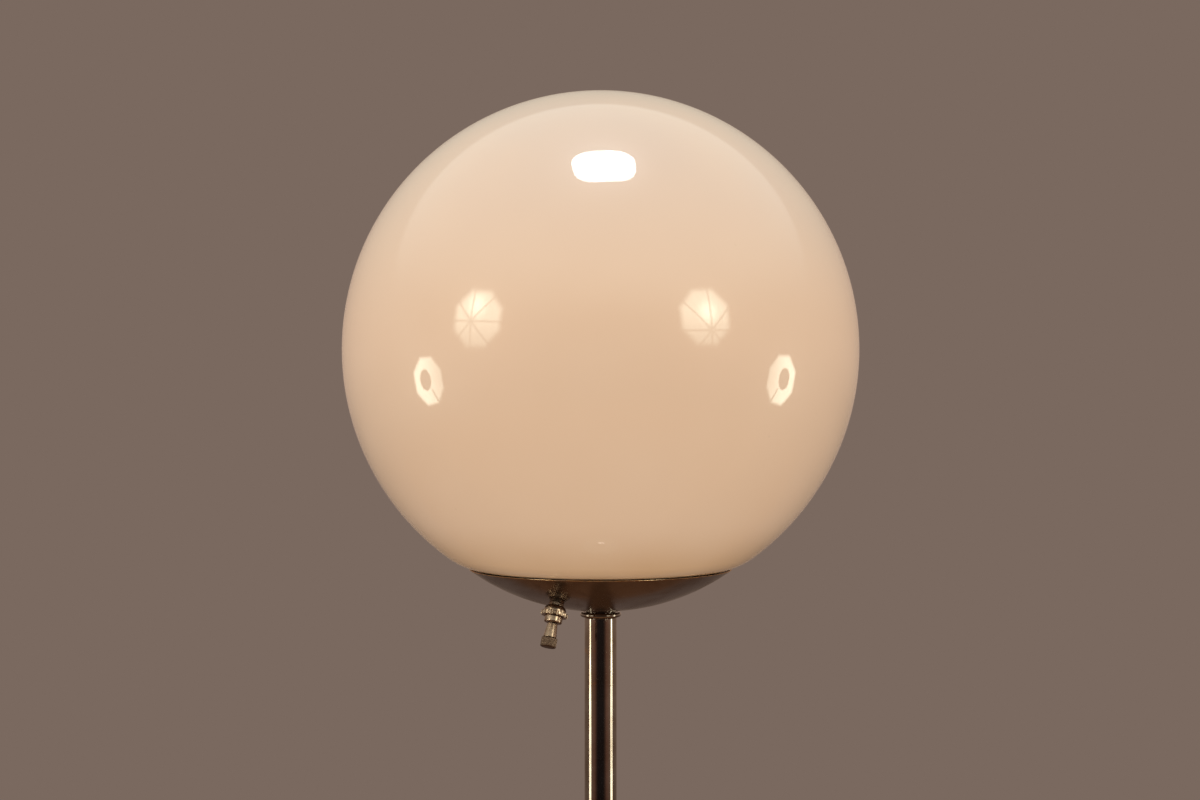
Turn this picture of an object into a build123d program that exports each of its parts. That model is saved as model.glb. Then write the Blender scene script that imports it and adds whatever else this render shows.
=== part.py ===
from build123d import *
import os
from math import acos, asin, cos, degrees, hypot, radians, sin, sqrt

# Globe floor lamp. Millimetres, +Z up, origin on the lamp's axis at the floor, -Y is the front.
# Everything stands on the piece below it, so each height is worked out from the floor upwards.

# ---------------------------------------------------------------- driving dimensions
cut_over = 1.0  # how far a cut runs past the face that it opens

# Felt, weight and cover of the base
felt_thickness = 3.0
felt_inset = 1.0  # the felt stops this far inside the weight's edge
weight_side_gap = 2.5  # between the weight's side and the cover's wall
weight_shoulder = 7.0  # width of the bevel round the weight's top edge
weight_gap = 0.5  # between weight and cover, away from the clamped land
base_radius = 145.0
base_sheet = 1.5
base_floor_gap = 1.0
base_wall_height = 12.0
base_edge_round = 7.0
base_slope = 14.0  # degrees, where the dome leaves the edge
base_land_radius = 16.0
well_radius = 30.0
well_cover = 8.0  # iron left above the well
pocket_width = 26.0
pocket_reach = 62.0
pocket_height = 15.5
channel_width = 11.0
channel_height = 9.0

# Cable inlet in the rim of the base
inlet_height = 6.5
inlet_hole_radius = 4.2
grommet_bore = 3.1
grommet_flange_radius = 5.0
grommet_flange = 1.4

# Terminal block in the base
block_size = (18.0, 20.0, 13.0)
block_front = 36.0
block_pitch = 8.0
block_wire_height = 6.5  # above the block's lower face
block_edge = 1.0
insert_radius = 2.5
insert_bore = 1.6
insert_inset = 2.0
block_screw_radius = 1.5
block_screw_head = 2.6
block_screw_head_height = 1.6
terminal_screw_radius = 1.3
terminal_screw_length = 3.2
terminal_screw_inset = 4.0

# Pole and its threaded ends
pole_radius = 11.0
pole_wall = 1.2
pole_length = 1303.05
bush_length = 18.0
bush_chamfer = 1.0
thread_radius = 5.0
thread_bore = 3.8
thread_clearance = 0.05
thread_grip = 12.0  # how far a threaded tube goes into a bush
rod_tail = 0.6  # rod below its nut
lamp_nut_flats = 14.0
lamp_nut_height = 3.5
washer_thickness = 1.5
base_washer_radius = 14.0
dish_washer_radius = 12.0

# Beaded collar, the same at both ends of the pole
collar_lip_radius = 10.4
collar_lip = 0.4
collar_groove_radius = 9.9
collar_groove = 0.4
collar_bead_radius = 14.1
collar_bead = 3.4

# Dish
dish_sheet = 1.2
dish_overhang = 16.5  # how far the rim stands outside the glass's mouth
dish_knee_radius = 60.0  # plan radius where the floor's arc meets the side's arc
dish_floor_curve = 155.0
dish_side_curve = 150.0

# Glass globe
globe_radius = 175.0
globe_wall = 3.0
globe_shoulder_curve = 50.0
globe_mouth_radius = 73.5
rim_gap = 0.5
seat_clearance = 0.3
seat_ring_width = 6.0
seat_ring_offset = 1.0  # the ring starts this far inside the glass's lowest circle

# Spring carrier that centres the glass
carrier_plate_radius = 14.0
carrier_sheet = 1.0
carrier_arm_width = 10.0
carrier_elbow_radius = 58.0
carrier_elbow_rise = 12.5
carrier_bend = 2.5
carrier_tip_drop = 7.0  # how far the tip leans in
carrier_tip_rise = 10.0

# Side-outlet coupler and upper threaded tube
coupler_radius = 8.0
coupler_length = 14.0
coupler_cavity_radius = 5.6
coupler_grip = 4.5
coupler_outlet_radius = 3.0
upper_nipple_length = 13.0

# Lampholder
holder_neck_radius = 7.5
holder_neck = 8.0
holder_radius = 19.5
holder_wall = 1.0
holder_dome = 12.0
holder_cap_rim = 6.0
holder_skirt_height = 40.0
holder_skirt_lap = 5.0
holder_skirt_lip = 1.5
insert_disc_radius = 17.6
insert_disc_height = 12.0
insert_disc_drop = 7.0  # how far the disc sits below the cap's rim
terminal_offset = 9.0
terminal_hole_depth = 8.0
terminal_hole_radius = 1.5
holder_screw_radius = 1.5
grub_screw_radius = 1.5
screw_shell_turns = 6
screw_shell_wall = 0.4
screw_shell_gap = 0.3  # between the shell's crests and the bulb's cap
holder_ring_height = 10.0
contact_leaf = 0.6
contact_leaf_width = 6.0
contact_leaf_half = 7.0
contact_leaf_rise = 2.2
contact_pad_half = 3.0

# Bulb
bulb_length = 105.0
bulb_radius = 30.0
bulb_wall = 0.8
bulb_neck_radius = 11.8
bulb_neck_curve = 40.0
bulb_cap_crest = 13.1
bulb_cap_root = 12.4
bulb_cap_wall = 0.5
bulb_cap_turns = 5
thread_pitch = 3.62
bulb_contact_radius = 4.7
bulb_contact_height = 1.5
bulb_insulator_height = 4.0
bulb_insulator_radius = 9.5
stem_height = 42.0
stem_radius = 2.2
stem_foot_height = 12.0
filament_wire = 0.5
filament_spread = 9.0
filament_height = 12.0

# Turn switch: where it stands on the dish, and its outer stack
switch_plan_radius = 56.0
switch_angle = -121.0
switch_thread_radius = 3.0
switch_nut_flats = 8.6
switch_nut_height = 1.9
dome_small_radius = 4.6
dome_large_radius = 7.25
dome_height = 4.6
dome_bulge = 0.9
ring_radius = 8.85
ring_height = 2.7
ring_notches = 16
ring_notch_radius = 0.75
switch_collar_radius = 5.9
switch_collar_height = 4.4
switch_collar_round = 0.7
switch_collar_end = 2.0

# Knob and the pieces that turn with it
knob_gap = 0.4
knob_neck_radius = 3.3
knob_waist_radius = 4.4
knob_taper = 9.4
knob_groove = 0.4
knob_band_radius = 5.2
knob_band = 6.2
knob_round = 0.9
knurl_count = 24
knurl_depth = 0.35
spindle_radius = 1.6
spindle_clearance = 0.05
spindle_in_knob = 7.0
spindle_tail = 1.5
rotor_radius = 5.4
rotor_height = 3.5
rotor_floor_gap = 3.1
cam_half_width = 3.4
cam_height = 3.0
cam_round = 1.0
bridge_length = 12.2
bridge_width = 2.6
bridge_thickness = 1.2

# Insulated case of the switch, above the dish
gasket_thickness = 1.0
gasket_radius = 6.5
gasket_sag = 0.15
case_radius = 10.5
case_wall = 1.6
case_height = 18.0
lid_thickness = 2.0
bushing_head_radius = 5.0
bushing_head = 1.5
blade_position = 6.6
blade_thickness = 0.6
blade_width = 4.0
blade_foot_gap = 1.2  # between the blade's foot and the bridge's far face
blade_tail = 4.2
blade_slot_gap = 0.15
detent_gap = 0.4
detent_thickness = 0.4
switch_screw_radius = 1.0
switch_screw_head = 1.9
switch_screw_head_height = 1.2
switch_screw_rise = 2.2

# Flex and single cores
flex_radius = 3.0
flex_bend = 9.0
flex_end_height = 25.0  # the sheath stops this far below the pole's top
flex_run = 28.0
core_radius = 1.1
core_bend_radius = 8.0
core_rise = 13.0  # how far a core rises off its tab before it turns over
core_drop_out = 28.0  # distance from the lamp's axis where the cores come down
core_over_rise = 46.5  # top of the turn, above the dish's lowest point
core_drop_lean = 1.5  # how far they lean in on the way down
core_spread = 1.5  # how far they part there, as a share of their distance in the outlet
core_outlet_bend = 3.5
core_terminal_bend = 5.0
neutral_offset = -1.9
live_offset = (1.4, 1.3)

# ---------------------------------------------------------------- base radii and heights, from the floor up
weight_radius = base_radius - base_sheet - weight_side_gap
felt_radius = weight_radius - felt_inset
weight_bottom_z = felt_thickness
dome_curve = (base_radius - base_edge_round * (1 - sin(radians(base_slope))) - base_land_radius) / sin(
    radians(base_slope)
)
base_edge_rise = base_edge_round * cos(radians(base_slope))
base_dome_rise = dome_curve * (1 - cos(radians(base_slope)))
base_top_z = base_floor_gap + base_wall_height + base_edge_rise + base_dome_rise
base_under_z = base_top_z - base_sheet
well_top_z = base_under_z - well_cover
rod_bottom_z = well_top_z - washer_thickness - lamp_nut_height - rod_tail
collar_height = collar_lip + collar_groove + collar_bead + collar_groove
pole_bottom_z = base_top_z + collar_height
pole_top_z = pole_bottom_z + pole_length
dish_bottom_z = pole_top_z + collar_height

# ---------------------------------------------------------------- shape of the dish and the glass
# The dish's outer side is two tangent arcs; the inner side is concentric with it.
dish_rim_radius = globe_mouth_radius + dish_overhang
knee_slope = asin(dish_knee_radius / dish_floor_curve)
floor_centre_z = dish_bottom_z + dish_floor_curve
side_centre_r = dish_knee_radius - dish_side_curve * sin(knee_slope)
side_centre_z = floor_centre_z - (dish_floor_curve - dish_side_curve) * cos(knee_slope)
dish_rim_z = side_centre_z - sqrt(dish_side_curve**2 - (dish_rim_radius - side_centre_r) ** 2)
dish_rim_inner = side_centre_r + sqrt((dish_side_curve - dish_sheet) ** 2 - (side_centre_z - dish_rim_z) ** 2)


def dish_height(radius, sheet):
    """Height of the dish's outer side, or of its inner side if sheet is its thickness."""
    if radius < (dish_floor_curve - sheet) * sin(knee_slope):
        return floor_centre_z - sqrt((dish_floor_curve - sheet) ** 2 - radius**2)
    return side_centre_z - sqrt((dish_side_curve - sheet) ** 2 - (radius - side_centre_r) ** 2)


# The glass is a sphere whose shoulder turns in on a smaller arc down to the rounded mouth.
lip_radius = globe_wall / 2
lip_centre_r = globe_mouth_radius + lip_radius
shoulder_reach = globe_radius - globe_shoulder_curve
shoulder_drop = sqrt(shoulder_reach**2 - lip_centre_r**2)
glass_bottom_drop = shoulder_drop + globe_shoulder_curve
glass_over_rim = shoulder_drop + sqrt(globe_shoulder_curve**2 - (dish_rim_inner - lip_centre_r) ** 2)
globe_centre_z = dish_rim_z + rim_gap + glass_over_rim
globe_bottom_z = globe_centre_z - glass_bottom_drop
lip_centre_z = globe_bottom_z + lip_radius

# ---------------------------------------------------------------- stack on the dish's floor
dish_washer_z = dish_height(dish_washer_radius, dish_sheet)
carrier_z = dish_washer_z + washer_thickness
lock_nut_z = carrier_z + carrier_sheet
coupler_z = lock_nut_z + lamp_nut_height
outlet_z = coupler_z + coupler_length / 2
upper_nipple_z = coupler_z + coupler_length - coupler_grip
upper_nipple_top = upper_nipple_z + upper_nipple_length
holder_z = coupler_z + coupler_length + thread_clearance
holder_dome_top = holder_z + holder_neck + holder_dome
holder_rim_z = holder_dome_top + holder_cap_rim
insert_disc_z = holder_rim_z - insert_disc_drop
insert_disc_top = insert_disc_z + insert_disc_height
skirt_z = holder_rim_z - holder_skirt_lap
skirt_top = skirt_z + holder_skirt_height
shell_crest_radius = bulb_cap_crest + screw_shell_gap
shell_root_radius = shell_crest_radius + bulb_cap_crest - bulb_cap_root
bulb_tip_z = insert_disc_top + contact_leaf_rise + contact_leaf + seat_clearance
bulb_cap_z = bulb_tip_z + bulb_contact_height + bulb_insulator_height
bulb_cap_top = bulb_cap_z + bulb_cap_turns * thread_pitch
bulb_centre_z = bulb_tip_z + bulb_length - bulb_radius

# ---------------------------------------------------------------- planes and axes
# Front of the switch: a plane square to the dish's outer side, its z pointing out and down.
# Along that axis, heights are counted from the dish's outer side, positive outwards.
switch_tilt = asin(switch_plan_radius / dish_floor_curve)
switch_out = Vector(cos(radians(switch_angle)), sin(radians(switch_angle)), 0)
switch_side = Vector(-sin(radians(switch_angle)), cos(radians(switch_angle)), 0)
switch_normal = switch_out * sin(switch_tilt) - Vector(0, 0, 1) * cos(switch_tilt)
switch_seat = switch_out * switch_plan_radius + Vector(0, 0, dish_height(switch_plan_radius, 0))
switch_plane = Plane(origin=switch_seat, x_dir=switch_side, z_dir=switch_normal)
switch_section = Plane(origin=switch_seat, x_dir=switch_side, z_dir=switch_side.cross(switch_normal))
switch_side_plane = Plane(origin=switch_seat, x_dir=switch_normal, z_dir=switch_side)
switch_axis = Axis(switch_seat, switch_normal)

nut_top = switch_nut_height
dome_top = nut_top + dome_height
ring_top = dome_top + ring_height
switch_collar_top = ring_top + switch_collar_height
knob_start = switch_collar_top + knob_gap
knob_band_start = knob_start + knob_taper + knob_groove
knob_end = knob_band_start + knob_band
case_floor = -dish_sheet - gasket_sag - gasket_thickness
case_inside = case_floor - case_wall
case_end = case_floor - case_height
lid_end = case_end - lid_thickness
bridge_near = case_inside - rotor_floor_gap
rotor_near = bridge_near - bridge_thickness
cam_near = rotor_near - rotor_height
cam_far = cam_near - cam_height
spindle_far = cam_far - spindle_tail
blade_near = bridge_near + blade_foot_gap
blade_far = lid_end - blade_tail
screw_height = lid_end - switch_screw_rise


def radial_plane(angle):
    """Upright plane through the lamp's axis: its x points outwards at the angle, its y up."""
    outward = Vector(cos(radians(angle)), sin(radians(angle)), 0)
    return Plane(origin=(0, 0, 0), x_dir=outward, z_dir=outward.cross(Vector(0, 0, 1)))


def head_point(outwards, sideways, height):
    """Point in the lamp's head, counted from the axis towards the switch and to its side."""
    return switch_out * outwards + switch_side * sideways + Vector(0, 0, height)


os.makedirs("parts", exist_ok=True)


def keep(piece, name):
    """Labels a finished piece and writes it."""
    piece.part.label = name
    export_step(piece.part, f"parts/{name}.step")


# ---------------------------------------------------------------- base
with BuildPart() as felt_pad:
    with BuildSketch():
        Circle(felt_radius)
    extrude(amount=felt_thickness)
keep(felt_pad, "felt_pad")

# Spun cover: upright rim, rounded edge, shallow dome and a flat land for the collar.
with BuildPart() as base_cover:
    with BuildSketch(Plane.XZ):
        with BuildLine():
            rim = Line((base_radius, base_floor_gap), (base_radius, base_floor_gap + base_wall_height))
            edge = JernArc(rim @ 1, (0, 1), base_edge_round, 90 - base_slope)
            dome = JernArc(edge @ 1, edge % 1, dome_curve, base_slope)
            Line(dome @ 1, (thread_radius + thread_clearance, base_top_z))
            offset(amount=base_sheet, side=Side.LEFT)
        make_face()
    revolve(axis=Axis.Z)
    with BuildSketch(Plane.XZ):
        with Locations((0, inlet_height)):
            Circle(inlet_hole_radius)
    extrude(amount=-base_radius - grommet_flange, mode=Mode.SUBTRACT)
keep(base_cover, "base_cover")

# Iron weight with a well for the nut, a pocket for the terminal block and a channel to the inlet.
weight_edge_r = weight_radius - weight_shoulder
dome_inner_curve = dome_curve - base_sheet
weight_edge_z = (
    base_under_z
    - dome_inner_curve
    + sqrt(dome_inner_curve**2 - (weight_edge_r - base_land_radius) ** 2)
    - weight_gap
)
with BuildPart() as base_weight:
    with BuildSketch(Plane.XZ):
        Polygon(
            (thread_radius + thread_clearance, base_under_z),
            (base_land_radius, base_under_z),
            (weight_edge_r, weight_edge_z),
            (weight_radius, weight_edge_z - weight_shoulder),
            (weight_radius, weight_bottom_z),
            (well_radius, weight_bottom_z),
            (well_radius, well_top_z),
            (thread_radius + thread_clearance, well_top_z),
            align=None,
        )
    revolve(axis=Axis.Z)
    with BuildSketch(Plane.XY.offset(weight_bottom_z)):
        with Locations((0, pocket_reach / 2)):
            Rectangle(pocket_width, pocket_reach)
    extrude(amount=pocket_height, mode=Mode.SUBTRACT)
    with BuildSketch(Plane.XY.offset(weight_bottom_z)):
        with Locations((0, (pocket_reach + weight_radius) / 2)):
            Rectangle(channel_width, weight_radius - pocket_reach + 2 * cut_over)
    extrude(amount=channel_height, mode=Mode.SUBTRACT)
keep(base_weight, "base_weight")

with BuildPart() as base_washer:
    with BuildSketch(Plane.XY.offset(well_top_z - washer_thickness)):
        Circle(base_washer_radius)
        Circle(thread_radius + thread_clearance, mode=Mode.SUBTRACT)
    extrude(amount=washer_thickness)
keep(base_washer, "base_washer")

with BuildPart() as base_nut:
    with BuildSketch(Plane.XY.offset(well_top_z - washer_thickness - lamp_nut_height)):
        RegularPolygon(lamp_nut_flats / 2, 6, major_radius=False)
        Circle(thread_radius + thread_clearance, mode=Mode.SUBTRACT)
    extrude(amount=lamp_nut_height)
keep(base_nut, "base_nut")

with BuildPart() as base_tie_rod:
    with BuildSketch(Plane.XY.offset(rod_bottom_z)):
        Circle(thread_radius)
        Circle(thread_bore, mode=Mode.SUBTRACT)
    extrude(amount=pole_bottom_z + thread_grip - rod_bottom_z)
keep(base_tie_rod, "base_tie_rod")

# Rubber grommet in the hole of the rim: a flange on each side of the sheet.
with BuildPart() as inlet_grommet:
    with BuildSketch(Plane.YZ):
        with BuildLine():
            inner_face = sqrt((base_radius - base_sheet) ** 2 - grommet_flange_radius**2)
            Polyline(
                (inner_face - grommet_flange, inlet_height + grommet_bore),
                (inner_face - grommet_flange, inlet_height + grommet_flange_radius),
                (inner_face, inlet_height + grommet_flange_radius),
                (inner_face, inlet_height + inlet_hole_radius),
                (base_radius, inlet_height + inlet_hole_radius),
                (base_radius, inlet_height + grommet_flange_radius),
                (base_radius + grommet_flange, inlet_height + grommet_flange_radius - grommet_flange / 2),
                (base_radius + grommet_flange, inlet_height + grommet_bore),
                close=True,
            )
        make_face()
    revolve(axis=Axis((0, 0, inlet_height), (0, 1, 0)))
keep(inlet_grommet, "inlet_grommet")

# ---------------------------------------------------------------- terminal block
block_top_z = weight_bottom_z + pocket_height
block_bottom_z = block_top_z - block_size[2]
block_wire_z = block_bottom_z + block_wire_height
block_mid_y = block_front + block_size[1] / 2
wire_holes = [(-block_pitch / 2, block_wire_z), (block_pitch / 2, block_wire_z)]
screw_rows = [
    (x, block_mid_y + side * (block_size[1] / 2 - terminal_screw_inset))
    for x in (-block_pitch / 2, block_pitch / 2)
    for side in (-1, 1)
]
with BuildPart() as terminal_block:
    with BuildSketch(Plane.XY.offset(block_bottom_z)):
        with Locations((0, block_mid_y)):
            RectangleRounded(block_size[0], block_size[1], block_edge)
    extrude(amount=block_size[2])
    with BuildSketch(Plane.XZ.offset(-block_front)):
        with Locations(*wire_holes):
            Circle(insert_radius)
    extrude(amount=-block_size[1], mode=Mode.SUBTRACT)
    with BuildSketch(Plane.XY.offset(block_bottom_z)):
        with Locations(*screw_rows):
            Circle(terminal_screw_radius + thread_clearance)
    extrude(amount=block_wire_height, mode=Mode.SUBTRACT)
    with BuildSketch(Plane.XY.offset(block_bottom_z)):
        with Locations((0, block_mid_y)):
            Circle(block_screw_radius + thread_clearance)
    extrude(amount=block_size[2], mode=Mode.SUBTRACT)
keep(terminal_block, "terminal_block")

with BuildPart() as terminal_inserts:
    with BuildSketch(Plane.XZ.offset(-block_front - insert_inset)):
        with Locations(*wire_holes):
            Circle(insert_radius - thread_clearance)
            Circle(insert_bore, mode=Mode.SUBTRACT)
    extrude(amount=-block_size[1] + 2 * insert_inset)
    with BuildSketch(Plane.XY.offset(block_bottom_z)):
        with Locations(*screw_rows):
            Circle(terminal_screw_radius + thread_clearance)
    extrude(amount=block_wire_height, mode=Mode.SUBTRACT)
keep(terminal_inserts, "terminal_inserts")

with BuildPart() as terminal_screws:
    with BuildSketch(Plane.XY.offset(block_wire_z - core_radius - thread_clearance)):
        with Locations(*screw_rows):
            Circle(terminal_screw_radius)
    extrude(amount=-terminal_screw_length)
keep(terminal_screws, "terminal_screws")

with BuildPart() as block_screw:
    with BuildSketch(Plane.XY.offset(block_bottom_z)):
        with Locations((0, block_mid_y)):
            Circle(block_screw_radius)
    extrude(amount=block_size[2])
    with BuildSketch(Plane.XY.offset(block_bottom_z)):
        with Locations((0, block_mid_y)):
            Circle(block_screw_head)
    extrude(amount=-block_screw_head_height)
keep(block_screw, "block_screw")

# ---------------------------------------------------------------- pole
with BuildPart() as pole_tube:
    with BuildSketch(Plane.XY.offset(pole_bottom_z)):
        Circle(pole_radius)
        Circle(pole_radius - pole_wall, mode=Mode.SUBTRACT)
    extrude(amount=pole_length)
keep(pole_tube, "pole_tube")

bush_radius = pole_radius - pole_wall - thread_clearance
for bush_name, bush_z in (
    ("pole_bottom_bush", pole_bottom_z),
    ("pole_top_bush", pole_top_z - bush_length),
):
    with BuildPart() as bush:
        with BuildSketch(Plane.XY.offset(bush_z)):
            Circle(bush_radius)
            Circle(thread_radius + thread_clearance, mode=Mode.SUBTRACT)
        extrude(amount=bush_length)
        chamfer(bush.edges().filter_by(GeomType.CIRCLE).group_by(SortBy.RADIUS)[-1], bush_chamfer)
    keep(bush, bush_name)

# Turned collar: a lip against the sheet metal, a groove, a half-round bead and a groove.
bead_round = collar_bead / 2
for collar_name, lip_face_z, towards in (
    ("pole_bottom_collar", base_top_z, 1),
    ("pole_top_collar", dish_bottom_z, -1),
):
    collar_bore = thread_radius + thread_clearance
    groove_z = lip_face_z + towards * collar_lip
    bead_z = groove_z + towards * collar_groove
    bead_end_z = bead_z + towards * collar_bead
    collar_end_z = lip_face_z + towards * collar_height
    with BuildPart() as collar:
        with BuildSketch(Plane.XZ):
            with BuildLine():
                Polyline(
                    (collar_bore, lip_face_z),
                    (collar_lip_radius, lip_face_z),
                    (collar_lip_radius, groove_z),
                    (collar_groove_radius, groove_z),
                    (collar_groove_radius, bead_z),
                    (collar_bead_radius - bead_round, bead_z),
                )
                ThreePointArc(
                    (collar_bead_radius - bead_round, bead_z),
                    (collar_bead_radius, (bead_z + bead_end_z) / 2),
                    (collar_bead_radius - bead_round, bead_end_z),
                )
                Polyline(
                    (collar_bead_radius - bead_round, bead_end_z),
                    (collar_groove_radius, bead_end_z),
                    (collar_groove_radius, collar_end_z),
                    (collar_bore, collar_end_z),
                    (collar_bore, lip_face_z),
                )
            make_face()
        revolve(axis=Axis.Z)
    keep(collar, collar_name)

# ---------------------------------------------------------------- dish and what clamps it
with BuildPart() as dish:
    with BuildSketch(Plane.XZ):
        with BuildLine():
            outer_knee = (dish_knee_radius, dish_height(dish_knee_radius, 0))
            inner_knee_r = (dish_floor_curve - dish_sheet) * sin(knee_slope)
            inner_knee = (inner_knee_r, dish_height(inner_knee_r, dish_sheet))
            outer_rim = (dish_rim_radius, dish_rim_z)
            inner_rim = (dish_rim_inner, dish_rim_z)
            RadiusArc((0, dish_bottom_z), outer_knee, -dish_floor_curve)
            RadiusArc(outer_knee, outer_rim, -dish_side_curve)
            Line(outer_rim, inner_rim)
            RadiusArc(inner_rim, inner_knee, dish_side_curve - dish_sheet)
            RadiusArc(inner_knee, (0, dish_bottom_z + dish_sheet), dish_floor_curve - dish_sheet)
            Line((0, dish_bottom_z + dish_sheet), (0, dish_bottom_z))
        make_face()
    revolve(axis=Axis.Z)
    with BuildSketch(Plane.XY.offset(dish_bottom_z)):
        Circle(thread_radius + thread_clearance)
    extrude(amount=dish_sheet + cut_over, mode=Mode.SUBTRACT)
    with BuildSketch(switch_plane.offset(cut_over)):
        Circle(switch_thread_radius + thread_clearance)
    extrude(amount=-dish_sheet - 2 * cut_over, mode=Mode.SUBTRACT)
keep(dish, "dish")

with BuildPart() as dish_washer:
    with BuildSketch(Plane.XY.offset(dish_washer_z)):
        Circle(dish_washer_radius)
        Circle(thread_radius + thread_clearance, mode=Mode.SUBTRACT)
    extrude(amount=washer_thickness)
keep(dish_washer, "dish_washer")

with BuildPart() as dish_lock_nut:
    with BuildSketch(Plane.XY.offset(lock_nut_z)):
        RegularPolygon(lamp_nut_flats / 2, 6, major_radius=False)
        Circle(thread_radius + thread_clearance, mode=Mode.SUBTRACT)
    extrude(amount=lamp_nut_height)
keep(dish_lock_nut, "dish_lock_nut")

# Soft ring that the glass stands on: its underside is a chord just clear of the dish.
with BuildPart() as globe_seat_ring:
    ring_inner = lip_centre_r - seat_ring_offset
    ring_outer = ring_inner + seat_ring_width
    ring_top_z = globe_bottom_z - seat_clearance
    with BuildSketch(Plane.XZ):
        Polygon(
            (ring_inner, dish_height(ring_inner, dish_sheet)),
            (ring_outer, dish_height(ring_outer, dish_sheet)),
            (ring_outer, ring_top_z),
            (ring_inner, ring_top_z),
            align=None,
        )
    revolve(axis=Axis.Z)
keep(globe_seat_ring, "globe_seat_ring")

# Sprung carrier: three arms rise from the clamped plate and reach just inside the glass's mouth.
carrier_reach = globe_mouth_radius - seat_clearance
with BuildPart() as globe_carrier:
    with BuildSketch(Plane.XY.offset(carrier_z)):
        Circle(carrier_plate_radius)
        Circle(thread_radius + thread_clearance, mode=Mode.SUBTRACT)
    extrude(amount=carrier_sheet)
    for arm_angle in (switch_angle + 60, switch_angle + 180, switch_angle + 300):
        with BuildSketch(radial_plane(arm_angle)):
            with BuildLine():
                FilletPolyline(
                    (carrier_plate_radius - carrier_bend, carrier_z),
                    (carrier_plate_radius + carrier_bend, carrier_z),
                    (carrier_elbow_radius, carrier_z + carrier_elbow_rise),
                    (carrier_reach, lip_centre_z),
                    (carrier_reach - carrier_tip_drop, lip_centre_z + carrier_tip_rise),
                    radius=carrier_bend,
                )
                offset(amount=carrier_sheet, side=Side.LEFT)
            make_face()
        extrude(amount=carrier_arm_width / 2, both=True)
keep(globe_carrier, "globe_carrier")

with BuildPart() as lower_nipple:
    with BuildSketch(Plane.XY.offset(pole_top_z - thread_grip)):
        Circle(thread_radius)
        Circle(thread_bore, mode=Mode.SUBTRACT)
    extrude(amount=coupler_z + coupler_grip - pole_top_z + thread_grip)
keep(lower_nipple, "lower_nipple")

# Coupler with a side outlet for the two cores of the switch.
with BuildPart() as wire_coupler:
    coupler_thread = thread_radius + thread_clearance
    coupler_top = coupler_z + coupler_length
    with BuildSketch(Plane.XZ):
        Polygon(
            (coupler_thread, coupler_z),
            (coupler_radius, coupler_z),
            (coupler_radius, coupler_top),
            (coupler_thread, coupler_top),
            (coupler_thread, coupler_top - coupler_grip),
            (coupler_cavity_radius, coupler_top - coupler_grip),
            (coupler_cavity_radius, coupler_z + coupler_grip),
            (coupler_thread, coupler_z + coupler_grip),
            align=None,
        )
    revolve(axis=Axis.Z)
    with BuildSketch(Plane(origin=(0, 0, outlet_z), z_dir=switch_out)):
        Circle(coupler_outlet_radius)
    extrude(amount=coupler_radius + cut_over, mode=Mode.SUBTRACT)
keep(wire_coupler, "wire_coupler")

with BuildPart() as upper_nipple:
    with BuildSketch(Plane.XY.offset(upper_nipple_z)):
        Circle(thread_radius)
        Circle(thread_bore, mode=Mode.SUBTRACT)
    extrude(amount=upper_nipple_length)
keep(upper_nipple, "upper_nipple")

# ---------------------------------------------------------------- lampholder
with BuildPart() as holder_cap:
    with BuildSketch(Plane.XZ):
        with BuildLine():
            neck_top = (holder_neck_radius, holder_z + holder_neck)
            shoulder = (holder_radius, holder_dome_top)
            inner_neck = (holder_neck_radius, holder_z + holder_neck + holder_wall)
            inner_shoulder = (holder_radius - holder_wall, holder_dome_top)
            diagonal = sqrt(0.5)
            outer_middle = (
                holder_neck_radius + (holder_radius - holder_neck_radius) * diagonal,
                holder_dome_top - holder_dome * diagonal,
            )
            inner_middle = (
                outer_middle[0] - holder_wall * diagonal,
                outer_middle[1] + holder_wall * diagonal,
            )
            Polyline((coupler_thread, holder_z), (holder_neck_radius, holder_z), neck_top)
            ThreePointArc(neck_top, outer_middle, shoulder)
            Polyline(
                shoulder,
                (holder_radius, holder_rim_z),
                (holder_radius - holder_wall, holder_rim_z),
                inner_shoulder,
            )
            ThreePointArc(inner_shoulder, inner_middle, inner_neck)
            Polyline(
                inner_neck,
                (coupler_thread, holder_z + holder_neck + holder_wall),
                (coupler_thread, holder_z),
            )
        make_face()
    revolve(axis=Axis.Z)
    with BuildSketch(Plane(origin=(0, 0, holder_z + holder_neck / 2), z_dir=switch_side)):
        Circle(grub_screw_radius + thread_clearance)
    extrude(amount=holder_neck_radius + cut_over, mode=Mode.SUBTRACT)
keep(holder_cap, "holder_cap")

with BuildPart() as holder_grub_screw:
    grub_plane = Plane(origin=(0, 0, holder_z + holder_neck / 2), z_dir=switch_side)
    with BuildSketch(grub_plane.offset(thread_radius + thread_clearance)):
        Circle(grub_screw_radius)
    extrude(amount=holder_neck_radius - thread_radius)
keep(holder_grub_screw, "holder_grub_screw")

# Porcelain disc: two cores come in from below, two screws clamp them from the side.
terminal_z = insert_disc_z + terminal_hole_depth / 2
with BuildPart() as holder_insert:
    with BuildSketch(Plane.XY.offset(insert_disc_z)):
        Circle(insert_disc_radius)
    extrude(amount=insert_disc_height)
    chamfer(holder_insert.faces().sort_by(Axis.Z)[0].edges(), holder_wall)
    for side in (-1, 1):
        hole_centre = switch_out * (side * terminal_offset)
        with BuildSketch(Plane(origin=(hole_centre.X, hole_centre.Y, insert_disc_z), z_dir=(0, 0, 1))):
            Circle(terminal_hole_radius)
        extrude(amount=terminal_hole_depth, mode=Mode.SUBTRACT)
        with BuildSketch(Plane(origin=(0, 0, terminal_z), z_dir=switch_out * side).offset(terminal_offset)):
            Circle(holder_screw_radius + thread_clearance)
        extrude(amount=insert_disc_radius, mode=Mode.SUBTRACT)
keep(holder_insert, "holder_insert")

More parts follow.
